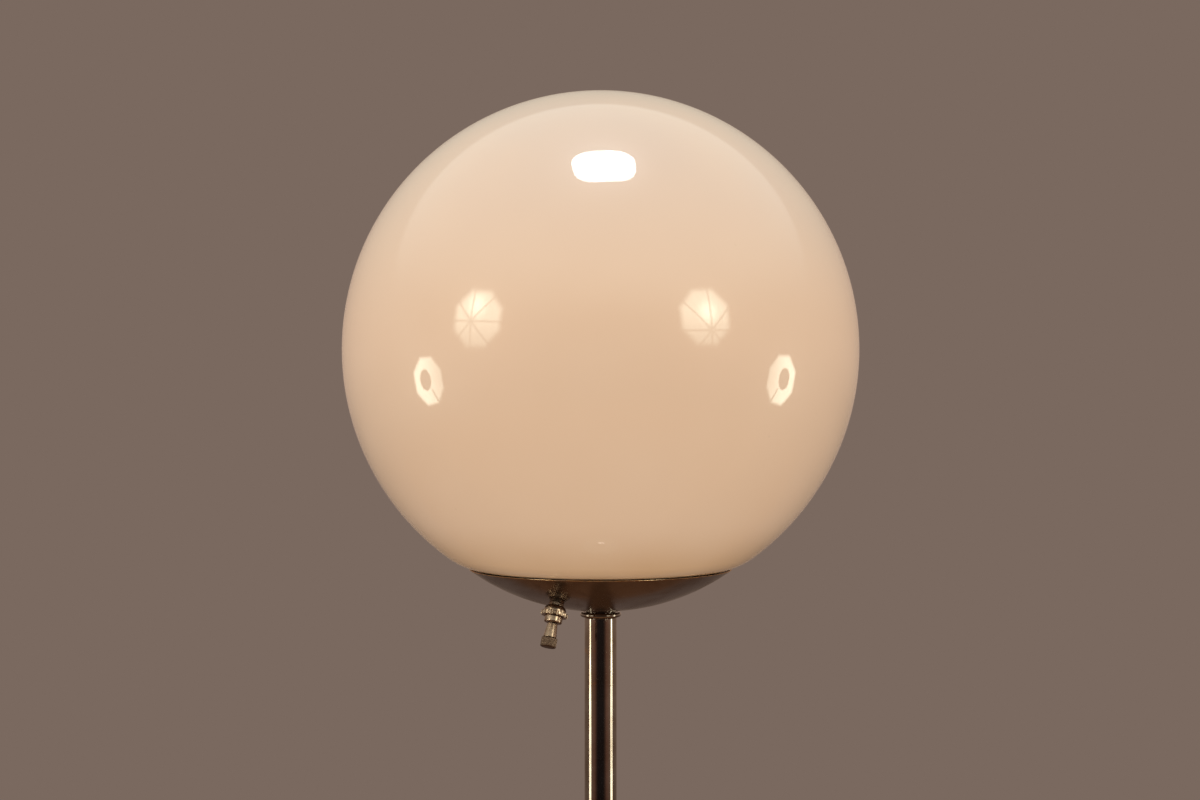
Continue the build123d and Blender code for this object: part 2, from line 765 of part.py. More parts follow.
with BuildPart() as holder_terminal_screws:
    for side in (-1, 1):
        screw_plane = Plane(origin=(0, 0, terminal_z), z_dir=switch_out * side)
        with BuildSketch(screw_plane.offset(terminal_offset + core_radius + thread_clearance)):
            Circle(holder_screw_radius)
        extrude(amount=insert_disc_radius - terminal_offset - core_radius - 2 * thread_clearance)
keep(holder_terminal_screws, "holder_terminal_screws")


def threaded_outline(root, crest, wall, start, turns):
    """Points of a pressed thread in section, as rings: outer side up, inner side down."""
    outer_side = [
        (root if step % 2 == 0 else crest, start + step * thread_pitch / 2)
        for step in range(2 * turns + 1)
    ]
    return outer_side + [(radius - wall, height) for radius, height in reversed(outer_side)]


with BuildPart() as holder_screw_shell:
    with BuildSketch(Plane.XZ):
        Polygon(
            *threaded_outline(
                shell_crest_radius + screw_shell_wall,
                shell_root_radius + screw_shell_wall,
                screw_shell_wall,
                insert_disc_top,
                screw_shell_turns,
            ),
            align=None,
        )
    revolve(axis=Axis.Z)
keep(holder_screw_shell, "holder_screw_shell")

with BuildPart() as holder_centre_contact:
    with BuildSketch(radial_plane(switch_angle)):
        with BuildLine():
            Polyline(
                (-contact_leaf_half, insert_disc_top),
                (-contact_pad_half, insert_disc_top),
                (-contact_pad_half / 2, insert_disc_top + contact_leaf_rise),
                (contact_pad_half, insert_disc_top + contact_leaf_rise),
            )
            offset(amount=contact_leaf, side=Side.LEFT)
        make_face()
    extrude(amount=contact_leaf_width / 2, both=True)
keep(holder_centre_contact, "holder_centre_contact")

with BuildPart() as holder_skirt:
    skirt_inner = holder_radius + thread_clearance
    with BuildSketch(Plane.XZ):
        Polygon(
            (skirt_inner, skirt_z),
            (skirt_inner + holder_wall, skirt_z),
            (skirt_inner + holder_wall, skirt_top),
            (skirt_inner - holder_skirt_lip, skirt_top),
            (skirt_inner - holder_skirt_lip, skirt_top - holder_wall),
            (skirt_inner, skirt_top - holder_wall),
            align=None,
        )
    revolve(axis=Axis.Z)
keep(holder_skirt, "holder_skirt")

with BuildPart() as holder_ring:
    ring_low_z = skirt_top - holder_wall - holder_ring_height
    with BuildSketch(Plane.XY.offset(ring_low_z)):
        Circle(skirt_inner - thread_clearance)
        Circle(shell_root_radius + screw_shell_wall + thread_clearance, mode=Mode.SUBTRACT)
    extrude(amount=holder_ring_height)
keep(holder_ring, "holder_ring")

# ---------------------------------------------------------------- bulb
with BuildPart() as bulb_contact:
    with BuildSketch(Plane.XY.offset(bulb_tip_z)):
        Circle(bulb_contact_radius)
    extrude(amount=bulb_contact_height)
    chamfer(bulb_contact.faces().sort_by(Axis.Z)[0].edges(), bulb_contact_height / 3)
keep(bulb_contact, "bulb_contact")

with BuildPart() as bulb_insulator:
    with BuildSketch(Plane.XZ):
        Polygon(
            (0, bulb_tip_z + bulb_contact_height),
            (bulb_contact_radius, bulb_tip_z + bulb_contact_height),
            (bulb_insulator_radius, bulb_cap_z),
            (0, bulb_cap_z),
            align=None,
        )
    revolve(axis=Axis.Z)
keep(bulb_insulator, "bulb_insulator")

with BuildPart() as bulb_cap:
    with BuildSketch(Plane.XZ):
        Polygon(
            *threaded_outline(bulb_cap_root, bulb_cap_crest, bulb_cap_wall, bulb_cap_z, bulb_cap_turns),
            align=None,
        )
    revolve(axis=Axis.Z)
    with BuildSketch(Plane.XY.offset(bulb_cap_z)):
        Circle(bulb_cap_root)
    extrude(amount=bulb_cap_wall)
keep(bulb_cap, "bulb_cap")

# Envelope: straight neck, a hollow curve and the ball, which meets the curve tangentially.
neck_centre_r = bulb_neck_radius + bulb_neck_curve
neck_turn = acos(neck_centre_r / (bulb_neck_curve + bulb_radius))
bulb_neck_z = bulb_centre_z - (bulb_neck_curve + bulb_radius) * sin(neck_turn)
bulb_foot_z = bulb_cap_top - thread_pitch
with BuildPart() as bulb_glass:
    with BuildSketch(Plane.XZ):
        with BuildLine():
            neck = Line((bulb_neck_radius, bulb_foot_z), (bulb_neck_radius, bulb_neck_z))
            hollow = JernArc(neck @ 1, (0, 1), bulb_neck_curve, -degrees(neck_turn))
            JernArc(hollow @ 1, hollow % 1, bulb_radius, 90 + degrees(neck_turn))
            offset(amount=bulb_wall, side=Side.LEFT)
        make_face()
    revolve(axis=Axis.Z)
keep(bulb_glass, "bulb_glass")

stem_top = bulb_foot_z + stem_height
stem_foot_radius = bulb_neck_radius - bulb_wall - thread_clearance
with BuildPart() as bulb_stem:
    with BuildSketch(Plane.XZ):
        Polygon(
            (0, bulb_foot_z),
            (stem_foot_radius, bulb_foot_z),
            (stem_radius, bulb_foot_z + stem_foot_height),
            (stem_radius, stem_top),
            (0, stem_top),
            align=None,
        )
    revolve(axis=Axis.Z)
keep(bulb_stem, "bulb_stem")

# Filament: two bent support wires out of the stem, and the wire between their ends.
with BuildPart() as bulb_filament:
    with BuildLine(Plane.XZ) as filament_route:
        FilletPolyline(
            (-stem_radius - filament_wire, stem_top - stem_foot_height),
            (-stem_radius - filament_wire, stem_top),
            (-filament_spread, stem_top + filament_height),
            (filament_spread, stem_top + filament_height),
            (stem_radius + filament_wire, stem_top),
            (stem_radius + filament_wire, stem_top - stem_foot_height),
            radius=2 * filament_wire,
        )
    with BuildSketch(Plane(origin=filament_route.wire() @ 0, z_dir=filament_route.wire() % 0)):
        Circle(filament_wire / 2)
    sweep()
keep(bulb_filament, "bulb_filament")

# ---------------------------------------------------------------- glass globe
with BuildPart() as glass_globe:
    with BuildSketch(Plane.XZ):
        with BuildLine():
            turn_r = lip_centre_r / shoulder_reach
            turn_z = shoulder_drop / shoulder_reach
            inner_radius = globe_radius - globe_wall
            inner_shoulder_curve = globe_shoulder_curve - globe_wall
            outer_turn = (globe_radius * turn_r, globe_centre_z - globe_radius * turn_z)
            inner_turn = (inner_radius * turn_r, globe_centre_z - inner_radius * turn_z)
            lip_bottom = (lip_centre_r, globe_bottom_z)
            lip_top = (lip_centre_r, globe_bottom_z + globe_wall)
            ThreePointArc((0, globe_centre_z + globe_radius), (globe_radius, globe_centre_z), outer_turn)
            RadiusArc(outer_turn, lip_bottom, globe_shoulder_curve)
            ThreePointArc(lip_bottom, (globe_mouth_radius, lip_centre_z), lip_top)
            RadiusArc(lip_top, inner_turn, -inner_shoulder_curve)
            ThreePointArc(inner_turn, (inner_radius, globe_centre_z), (0, globe_centre_z + inner_radius))
            Line((0, globe_centre_z + inner_radius), (0, globe_centre_z + globe_radius))
        make_face()
    revolve(axis=Axis.Z)
keep(glass_globe, "glass_globe")

# ---------------------------------------------------------------- switch: fixed pieces
with BuildPart() as switch_gasket:
    with BuildSketch(switch_plane.offset(case_floor)):
        Circle(gasket_radius)
        Circle(switch_thread_radius + thread_clearance, mode=Mode.SUBTRACT)
    extrude(amount=gasket_thickness)
keep(switch_gasket, "switch_gasket")

with BuildPart() as switch_case:
    with BuildSketch(switch_section):
        Polygon(
            (switch_thread_radius + thread_clearance, case_floor),
            (case_radius, case_floor),
            (case_radius, case_end),
            (case_radius - case_wall, case_end),
            (case_radius - case_wall, case_inside),
            (switch_thread_radius + thread_clearance, case_inside),
            align=None,
        )
    revolve(axis=switch_axis)
keep(switch_case, "switch_case")

blade_middle = blade_position + blade_thickness / 2
with BuildPart() as switch_lid:
    with BuildSketch(switch_plane.offset(lid_end)):
        Circle(case_radius)
        with Locations((-blade_middle, 0), (blade_middle, 0)):
            Rectangle(
                blade_thickness + 2 * blade_slot_gap,
                blade_width + 2 * blade_slot_gap,
                mode=Mode.SUBTRACT,
            )
    extrude(amount=lid_thickness)
keep(switch_lid, "switch_lid")

# Threaded bushing: its head is inside the case, its thread goes out through the dish.
bushing_end = switch_collar_top - switch_collar_end
spindle_bore = spindle_radius + spindle_clearance
with BuildPart() as switch_bushing:
    with BuildSketch(switch_section):
        Polygon(
            (spindle_bore, case_inside - bushing_head),
            (bushing_head_radius, case_inside - bushing_head),
            (bushing_head_radius, case_inside),
            (switch_thread_radius, case_inside),
            (switch_thread_radius, bushing_end),
            (spindle_bore, bushing_end),
            align=None,
        )
    revolve(axis=switch_axis)
keep(switch_bushing, "switch_bushing")

with BuildPart() as switch_nut:
    with BuildSketch(switch_plane.offset(thread_clearance)):
        RegularPolygon(switch_nut_flats / 2, 6, major_radius=False)
        Circle(switch_thread_radius + thread_clearance, mode=Mode.SUBTRACT)
    extrude(amount=nut_top - thread_clearance)
keep(switch_nut, "switch_nut")

with BuildPart() as switch_dome:
    with BuildSketch(switch_section):
        with BuildLine():
            dome_bore = switch_thread_radius + thread_clearance
            Polyline(
                (dome_small_radius, nut_top),
                (dome_bore, nut_top),
                (dome_bore, dome_top),
                (dome_large_radius, dome_top),
            )
            ThreePointArc(
                (dome_large_radius, dome_top),
                (
                    (dome_small_radius + dome_large_radius) / 2 + dome_bulge,
                    (nut_top + dome_top) / 2 - dome_bulge / 2,
                ),
                (dome_small_radius, nut_top),
            )
        make_face()
    revolve(axis=switch_axis)
keep(switch_dome, "switch_dome")

with BuildPart() as switch_notched_ring:
    with BuildSketch(switch_plane.offset(dome_top)):
        Circle(ring_radius)
        with PolarLocations(ring_radius, ring_notches):
            Circle(ring_notch_radius, mode=Mode.SUBTRACT)
        Circle(switch_thread_radius + thread_clearance, mode=Mode.SUBTRACT)
    extrude(amount=ring_height)
keep(switch_notched_ring, "switch_notched_ring")

with BuildPart() as switch_collar:
    with BuildSketch(switch_section):
        with BuildLine():
            collar_thread = switch_thread_radius + thread_clearance
            FilletPolyline(
                (collar_thread, ring_top),
                (switch_collar_radius, ring_top),
                (switch_collar_radius, switch_collar_top),
                (spindle_bore, switch_collar_top),
                radius=switch_collar_round,
            )
            Polyline(
                (spindle_bore, switch_collar_top),
                (spindle_bore, bushing_end),
                (collar_thread, bushing_end),
                (collar_thread, ring_top),
            )
        make_face()
    revolve(axis=switch_axis)
keep(switch_collar, "switch_collar")

# Two contact blades stand beside the rotor and end as tabs outside the lid.
with BuildPart() as switch_contacts:
    with BuildSketch(switch_plane.offset(blade_far)):
        with Locations((-blade_middle, 0), (blade_middle, 0)):
            Rectangle(blade_thickness, blade_width)
    extrude(amount=blade_near - blade_far)
    with BuildSketch(switch_side_plane.offset(-case_radius)):
        with Locations((screw_height, 0)):
            Circle(switch_screw_radius + thread_clearance)
    extrude(amount=2 * case_radius, mode=Mode.SUBTRACT)
keep(switch_contacts, "switch_contacts")

with BuildPart() as switch_terminal_screws:
    for side in (-1, 1):
        screw_plane = Plane(origin=switch_seat, x_dir=switch_normal, z_dir=switch_side * side)
        with BuildSketch(screw_plane.offset(blade_position)):
            with Locations((screw_height, 0)):
                Circle(switch_screw_radius)
        extrude(amount=blade_thickness)
        with BuildSketch(screw_plane.offset(blade_position + blade_thickness)):
            with Locations((screw_height, 0)):
                Circle(switch_screw_head)
        extrude(amount=switch_screw_head_height)
keep(switch_terminal_screws, "switch_terminal_screws")

# Leaf spring across the case, beside the square cam that it clicks on.
detent_distance = hypot(cam_half_width, cam_half_width - cam_round) + detent_gap
detent_half = sqrt((case_radius - case_wall) ** 2 - (detent_distance + detent_thickness) ** 2)
with BuildPart() as switch_detent_spring:
    with BuildSketch(switch_plane.offset(cam_far)):
        with Locations((0, detent_distance + detent_thickness / 2)):
            Rectangle(2 * (detent_half - thread_clearance), detent_thickness)
    extrude(amount=cam_height)
keep(switch_detent_spring, "switch_detent_spring")

# ---------------------------------------------------------------- switch: pieces that turn
with BuildPart() as switch_spindle:
    with BuildSketch(switch_plane.offset(spindle_far)):
        Circle(spindle_radius)
    extrude(amount=knob_start + spindle_in_knob - spindle_far)
keep(switch_spindle, "switch_spindle")

with BuildPart() as switch_rotor:
    with BuildSketch(switch_plane.offset(cam_near)):
        Circle(rotor_radius)
        Circle(spindle_bore, mode=Mode.SUBTRACT)
    extrude(amount=rotor_height)
    with BuildSketch(switch_plane.offset(cam_far)):
        RectangleRounded(2 * cam_half_width, 2 * cam_half_width, cam_round)
        Circle(spindle_bore, mode=Mode.SUBTRACT)
    extrude(amount=cam_height)
keep(switch_rotor, "switch_rotor")

with BuildPart() as switch_bridge:
    with BuildSketch(switch_plane.offset(rotor_near)):
        RectangleRounded(bridge_length, bridge_width, bridge_width / 3)
        Circle(bridge_width)
        Circle(spindle_bore, mode=Mode.SUBTRACT)
    extrude(amount=bridge_thickness)
keep(switch_bridge, "switch_bridge")

# Tapered knob with a groove and a knurled end band.
with BuildPart() as switch_knob:
    with BuildSketch(switch_section):
        with BuildLine():
            band_face = knob_end - knob_round
            Polyline(
                (0, knob_start + spindle_in_knob),
                (spindle_bore, knob_start + spindle_in_knob),
                (spindle_bore, knob_start),
                (knob_neck_radius, knob_start),
                (knob_waist_radius, knob_start + knob_taper),
                (knob_neck_radius, knob_start + knob_taper),
                (knob_neck_radius, knob_band_start),
                (knob_band_radius, knob_band_start),
                (knob_band_radius, band_face),
            )
            RadiusArc((knob_band_radius, band_face), (knob_band_radius - knob_round, knob_end), -knob_round)
            Polyline(
                (knob_band_radius - knob_round, knob_end),
                (0, knob_end),
                (0, knob_start + spindle_in_knob),
            )
        make_face()
    revolve(axis=switch_axis)
    with BuildSketch(switch_plane.offset(knob_band_start)):
        with PolarLocations(knob_band_radius, knurl_count):
            Circle(knurl_depth)
    extrude(amount=knob_band - knob_round, mode=Mode.SUBTRACT)
keep(switch_knob, "switch_knob")

# ---------------------------------------------------------------- flex and cores
# The flex runs from the terminal block up the pole, in the hollow rod and bush.
sheath_top = pole_top_z - flex_end_height
with BuildPart() as pole_flex:
    with BuildLine() as flex_route:
        FilletPolyline(
            (0, 0, sheath_top),
            (0, 0, block_wire_z),
            (0, flex_run, block_wire_z),
            radius=flex_bend,
        )
    with BuildSketch(Plane(origin=flex_route.wire() @ 0, z_dir=flex_route.wire() % 0)):
        Circle(flex_radius)
    sweep()
keep(pole_flex, "pole_flex")

with BuildPart() as base_cores:
    for side in (-1, 1):
        sheath_x = side * flex_radius / 2
        core_x = side * block_pitch / 2
        with BuildLine() as base_core_route:
            FilletPolyline(
                (sheath_x, flex_run, block_wire_z),
                (sheath_x, flex_run + core_radius, block_wire_z),
                (core_x, block_front - core_radius, block_wire_z),
                (core_x, block_front + block_size[1] - insert_inset, block_wire_z),
                radius=core_radius,
            )
        with BuildSketch(Plane(origin=base_core_route.wire() @ 0, z_dir=base_core_route.wire() % 0)):
            Circle(core_radius)
        sweep()
keep(base_cores, "base_cores")

# Single cores of the head: neutral straight to the holder, live out to the switch, and back.
terminal_bend_z = upper_nipple_top + core_radius
terminal_turn_z = insert_disc_z - core_terminal_bend / 2
core_end_z = insert_disc_z + terminal_hole_depth
tab_x = blade_position - core_radius - 2 * thread_clearance
tab_height = -lid_end + 2 * thread_clearance
core_over_z = dish_bottom_z + core_over_rise


def switch_point(sideways, inwards):
    """Point above the switch's lid, counted sideways and inwards along the switch's axis."""
    return switch_seat + switch_side * sideways - switch_normal * inwards


def switch_end(side):
    """Corners of a core's route from its tab, over and down to the coupler's side outlet."""
    core_side = side * live_offset[1]
    return [
        switch_point(side * tab_x, tab_height),
        switch_point(side * tab_x, tab_height + core_rise),
        head_point(core_drop_out, (side * tab_x + core_side) / 2, core_over_z),
        head_point(core_drop_out - core_drop_lean, core_side * core_spread, outlet_z),
        head_point(live_offset[0], core_side, outlet_z),
    ]


core_routes = {
    "wire_neutral": (
        [
            head_point(neutral_offset, 0, sheath_top),
            head_point(neutral_offset, 0, terminal_bend_z),
            head_point(-terminal_offset, 0, terminal_turn_z),
            head_point(-terminal_offset, 0, core_end_z),
        ],
        [core_terminal_bend, core_terminal_bend],
    ),
    "wire_live": (
        switch_end(1) + [head_point(*live_offset, sheath_top)],
        [core_bend_radius, core_bend_radius, core_bend_radius, core_outlet_bend],
    ),
    "wire_switched": (
        switch_end(-1)
        + [
            head_point(live_offset[0], -live_offset[1], terminal_bend_z),
            head_point(terminal_offset, 0, terminal_turn_z),
            head_point(terminal_offset, 0, core_end_z),
        ],
        [
            core_bend_radius,
            core_bend_radius,
            core_bend_radius,
            core_outlet_bend,
            core_terminal_bend,
            core_terminal_bend,
        ],
    ),
}
for core_name, (core_points, core_radii) in core_routes.items():
    with BuildPart() as core:
        with BuildLine() as core_route:
            FilletPolyline(*core_points, radius=core_radii)
        with BuildSketch(Plane(origin=core_route.wire() @ 0, z_dir=core_route.wire() % 0)):
            Circle(core_radius)
        sweep()
    keep(core, core_name)
    print(core_name, "length", round(core_route.wire().length, 1), "radii", core_radii)
print("total height", round(globe_centre_z + globe_radius, 2))
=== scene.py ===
"""Looks of the globe floor lamp: its pieces, materials, studio and camera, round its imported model.

Profiles are in millimetres, as (radius, height) pairs round the lamp's axis or the switch's axis.
A third number in a pair is the radius that its corner is rounded to. Everything that reaches
Blender is in metres, +Z up, with the front of the lamp towards -Y.
"""

import math

import bmesh
import bpy
from mathutils import Matrix, Vector


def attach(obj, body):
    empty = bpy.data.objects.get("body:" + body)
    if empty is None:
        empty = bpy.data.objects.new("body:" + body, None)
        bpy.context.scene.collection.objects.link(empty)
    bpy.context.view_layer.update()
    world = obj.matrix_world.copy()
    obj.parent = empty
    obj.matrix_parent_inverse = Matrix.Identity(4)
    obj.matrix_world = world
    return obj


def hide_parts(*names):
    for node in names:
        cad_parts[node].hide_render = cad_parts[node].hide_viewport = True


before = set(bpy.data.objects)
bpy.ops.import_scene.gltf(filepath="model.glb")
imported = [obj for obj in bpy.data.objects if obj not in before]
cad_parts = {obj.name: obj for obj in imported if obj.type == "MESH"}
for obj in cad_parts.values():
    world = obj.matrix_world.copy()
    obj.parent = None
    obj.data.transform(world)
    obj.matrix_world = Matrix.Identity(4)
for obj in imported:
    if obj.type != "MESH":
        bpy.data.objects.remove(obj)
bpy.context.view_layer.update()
scene = bpy.context.scene

MM = 0.001
ON_AXIS = 1e-6
SHARP_EDGE = 34.0


# ---------------- measures, as in the model
BASE_RADIUS, BASE_SHEET, BASE_FLOOR_GAP, BASE_WALL = 145.0, 1.5, 1.0, 12.0
BASE_EDGE_ROUND, BASE_SLOPE, BASE_LAND_RADIUS = 7.0, 14.0, 16.0
BASE_DOME_CURVE = 511.295
BASE_TOP_Z = 34.98
INLET_Z, INLET_HOLE_RADIUS = 6.5, 4.2
GROMMET_BORE, GROMMET_FLANGE = 3.1, 5.0
GROMMET_INNER_END, GROMMET_INNER_FACE, GROMMET_OUTER_END = 142.013, 143.413, 146.4
FELT_RADIUS, FELT_THICKNESS = 140.0, 3.0
BORE = 5.05

POLE_RADIUS, POLE_WALL = 11.0, 1.2
POLE_BOTTOM_Z, POLE_TOP_Z = 39.58, 1342.63
COLLAR_LIP, COLLAR_NECK, COLLAR_HEIGHT = 10.4, 9.9, 4.6
BEAD_CENTRE, BEAD_RADIUS = (12.4, 2.5), 1.7

DISH_BOTTOM_Z, DISH_RIM_Z = 1347.23, 1376.192
DISH_RIM_RADIUS, DISH_RIM_INNER = 90.0, 87.94
DISH_SHEET = 1.2
DISH_FLOOR_CURVE, DISH_SIDE_CURVE = 155.0, 150.0
DISH_KNEE_SLOPE = math.asin(60.0 / DISH_FLOOR_CURVE)
DISH_FLOOR_CENTRE_Z = DISH_BOTTOM_Z + DISH_FLOOR_CURVE
DISH_SIDE_CENTRE = (1.9355, 1497.6195)

GLOBE_RADIUS, GLOBE_WALL = 175.0, 3.0
GLOBE_CENTRE_Z, GLOBE_BOTTOM_Z = 1524.9885, 1374.9885
SHOULDER_CURVE, SHOULDER_DROP = 50.0, 100.0
LIP_CENTRE_R = 75.0
SEAT_INNER, SEAT_OUTER, SEAT_CLEARANCE = 74.0, 80.0, 0.3

# The pieces of the switch follow each other along its axis, from its seat on the dish.
SWITCH_SEAT = Vector((-28.842, -48.001, 1357.699))
SWITCH_AXIS = Vector((-0.1860783, -0.3096863, -0.9324534))
SWITCH_SIDE = Vector((0.8571673, -0.5150381, 0.0))
SWITCH_BORE, SPINDLE_BORE, SPINDLE_END = 3.05, 1.65, 21.0
NUT_FLATS, NUT_CORNER, NUT_END = 8.6, 4.97, 1.9
DOME_START_RADIUS, DOME_SPREAD, DOME_BULGE, DOME_END = 4.6, 2.65, 0.9, 6.5
NOTCHED_RADIUS, NOTCH_RADIUS, NOTCHES, NOTCHED_END = 8.85, 0.75, 16, 9.2
END_COLLAR_RADIUS, END_COLLAR_END = 5.9, 13.6
KNOB_START, KNOB_GROOVE, KNOB_BAND, KNOB_END = 14.0, 23.4, 23.8, 30.0
KNOB_NECK_RADIUS, KNOB_WAIST_RADIUS, KNOB_BAND_RADIUS = 3.3, 4.4, 5.2
CASE_RADIUS, CASE_INNER, CASE_NEAR, CASE_FAR = 10.5, 8.9, -2.35, -20.35

LOCK_NUT_Z, LOCK_NUT_FLATS = 1351.3986, 14.0
HOLDER_NECK, HOLDER_RADIUS, HOLDER_DOME = 7.5, 19.5, 12.0
HOLDER_Z, HOLDER_DOME_TOP, HOLDER_RIM_Z = 1368.9486, 1388.9486, 1394.9486
INSERT_TOP_Z = 1399.9486
SKIRT_Z, SKIRT_TOP_Z = 1389.9486, 1429.9486
SKIRT_INNER, SKIRT_OUTER, SKIRT_BEAD, SKIRT_MOUTH = 19.55, 20.2, 20.55, 18.05
GLAZED_RING_BORE = 14.55
BULB_TIP_Z, BULB_CAP_Z, BULB_CAP_TOP_Z = 1403.0486, 1408.5486, 1426.6486
BULB_FOOT_Z, BULB_NECK_Z, BULB_CENTRE_Z = 1423.0286, 1430.9661, 1478.0486
BULB_RADIUS, BULB_WALL, NECK_RADIUS, NECK_CURVE = 30.0, 0.8, 11.8, 40.0
NECK_TURN = math.degrees(0.7377)
STEM_TOP_Z, STEM_RADIUS = 1465.0286, 2.2
THREAD_PITCH, THREAD_DEPTH = 3.62, 0.35
CORE_RADIUS, FLEX_RADIUS = 1.1, 3.0


# ---------------- profiles
def arc(centre, radius, start, end, steps):
    """Points of an arc from one angle to another, in degrees from the outward direction."""
    angles = [math.radians(start + (end - start) * step / steps) for step in range(steps + 1)]
    return [(centre[0] + radius * math.cos(a), centre[1] + radius * math.sin(a)) for a in angles]


def rounded(points, radius, steps=4, closed=True):
    """A profile with its corners rounded. A point's own third number, if it has one, is its radius."""
    made = []
    count = len(points)
    for index, point in enumerate(points):
        own = point[2] if len(point) > 2 else radius
        corner = Vector(point[:2])
        if own <= 0 or (not closed and index in (0, count - 1)):
            made.append(tuple(corner))
            continue
        before = Vector(points[index - 1][:2]) - corner
        after = Vector(points[(index + 1) % count][:2]) - corner
        turn = math.pi - before.angle(after)
        reach = min(own * math.tan(turn / 2), 0.45 * before.length, 0.45 * after.length)
        start, end = corner + before.normalized() * reach, corner + after.normalized() * reach
        for step in range(steps + 1):
            t = step / steps
            made.append(tuple(start * (1 - t) ** 2 + corner * 2 * t * (1 - t) + end * t**2))
    return made


def polygon_edge(across_flats, sides=6):
    """The outline of a nut: it holds a radius back to the flats."""
    sector = 2 * math.pi / sides

    def hold(radius, height, angle):
        beside = (angle + sector / 2) % sector - sector / 2
        return min(radius, across_flats / 2 / math.cos(beside))

    return hold


def scalloped(outer_radius, cut_radius, count, low, high):
    """Round cuts across an edge, between two heights."""
    sector = 2 * math.pi / count

    def hold(radius, height, angle):
        if not low <= height <= high or radius < outer_radius - 1.2 * cut_radius:
            return radius
        beside = ((angle + sector / 2) % sector - sector / 2) * outer_radius
        depth = math.sqrt(max(0.0, cut_radius**2 - beside**2))
        return min(radius, outer_radius - depth)

    return hold


def helical(pitch, depth, low, high):
    """A rolled thread, which runs out at both of its ends."""

    def hold(radius, height, angle):
        phase = 2 * math.pi * height / pitch - angle
        fade = min(1.0, max(0.0, (height - low) / pitch), max(0.0, (high - height) / pitch))
        return radius + depth * fade * math.cos(phase)

    return hold


# ---------------- meshes
def smooth(mesh, sharp=SHARP_EDGE):
    """Shades a mesh smooth, apart from edges that bend more than sharp, in degrees."""
    mesh.polygons.foreach_set("use_smooth", [True] * len(mesh.polygons))
    mesh.set_sharp_from_angle(angle=math.radians(sharp))


def place_mesh(name, vertices, faces, place=None, sharp=SHARP_EDGE):
    """A piece from vertices in millimetres and faces, with all its faces turned outward."""
    mesh = bpy.data.meshes.new(name)
    mesh.from_pydata([tuple(MM * value for value in vertex) for vertex in vertices], [], faces)
    shape = bmesh.new()
    shape.from_mesh(mesh)
    bmesh.ops.recalc_face_normals(shape, faces=shape.faces)
    shape.to_mesh(mesh)
    shape.free()
    smooth(mesh, sharp)
    piece = bpy.data.objects.new(name, mesh)
    scene.collection.objects.link(piece)
    if place is not None:
        piece.matrix_world = place
    return piece


def turned(name, profile, steps=128, hold=None, place=None, sharp=SHARP_EDGE):
    """A piece turned round an axis from a closed profile, one that ends on the axis, or a line.

    hold changes the radius at a radius, height and angle.
    """
    closed = len(profile) > 2 and max(profile[0][0], profile[-1][0]) > ON_AXIS
    vertices, rings = [], []
    for radius, height in profile:
        if radius <= ON_AXIS:
            rings.append([len(vertices)])
            vertices.append((0.0, 0.0, height))
            continue
        rings.append(list(range(len(vertices), len(vertices) + steps)))
        for step in range(steps):
            angle = 2 * math.pi * step / steps
            at = hold(radius, height, angle) if hold else radius
            vertices.append((at * math.cos(angle), at * math.sin(angle), height))
    faces = []
    pairs = list(zip(rings, rings[1:])) + ([(rings[-1], rings[0])] if closed else [])
    for low, high in pairs:
        for step in range(steps):
            following = (step + 1) % steps
            if len(low) == 1 and len(high) == 1:
                continue
            if len(low) == 1:
                faces.append((low[0], high[following], high[step]))
            elif len(high) == 1:
                faces.append((low[step], low[following], high[0]))
            else:
                faces.append((low[step], low[following], high[following], high[step]))
    return place_mesh(name, vertices, faces, place, sharp)


def drill(piece, radius, start, end, steps=48):
    """A round hole through a piece, between two points in millimetres."""
    along = Vector(end) - Vector(start)
    turn = along.to_track_quat("Z", "Y").to_matrix().to_4x4()
    place = Matrix.Translation(Vector(start) * MM) @ turn
    outline = [(0, 0), (radius, 0), (radius, along.length), (0, along.length)]
    tool = turned("drill", outline, steps, place=place)
    cut = piece.modifiers.new("hole", "BOOLEAN")
    cut.operation, cut.solver, cut.object = "DIFFERENCE", "EXACT", tool
    bpy.context.view_layer.update()
    kept = bpy.data.meshes.new_from_object(piece.evaluated_get(bpy.context.evaluated_depsgraph_get()))
    piece.modifiers.clear()
    piece.data = kept
    smooth(kept)
    bpy.data.objects.remove(tool)


def tube(name, points, radius, resolution=16):
    """A core or sheath along a smooth line: the points, in millimetres, are its control points."""
    line = bpy.data.curves.new(name, "CURVE")
    line.dimensions = "3D"
    line.bevel_depth, line.bevel_resolution, line.use_fill_caps = radius * MM, 5, True
    spline = line.splines.new("NURBS")
    spline.points.add(len(points) - 1)
    for knot, point in zip(spline.points, points):
        knot.co = (*(MM * value for value in point), 1.0)
    spline.order_u, spline.use_endpoint_u, spline.resolution_u = 3, True, resolution
    piece = bpy.data.objects.new(name, line)
    scene.collection.objects.link(piece)
    return piece


# ---------------- materials
def srgb(red, green, blue):
    """A colour as a picture gives it, 0 to 255, in linear light."""
    parts = [value / 255 for value in (red, green, blue)]
    return tuple(v / 12.92 if v <= 0.04045 else ((v + 0.055) / 1.055) ** 2.4 for v in parts) + (1.0,)


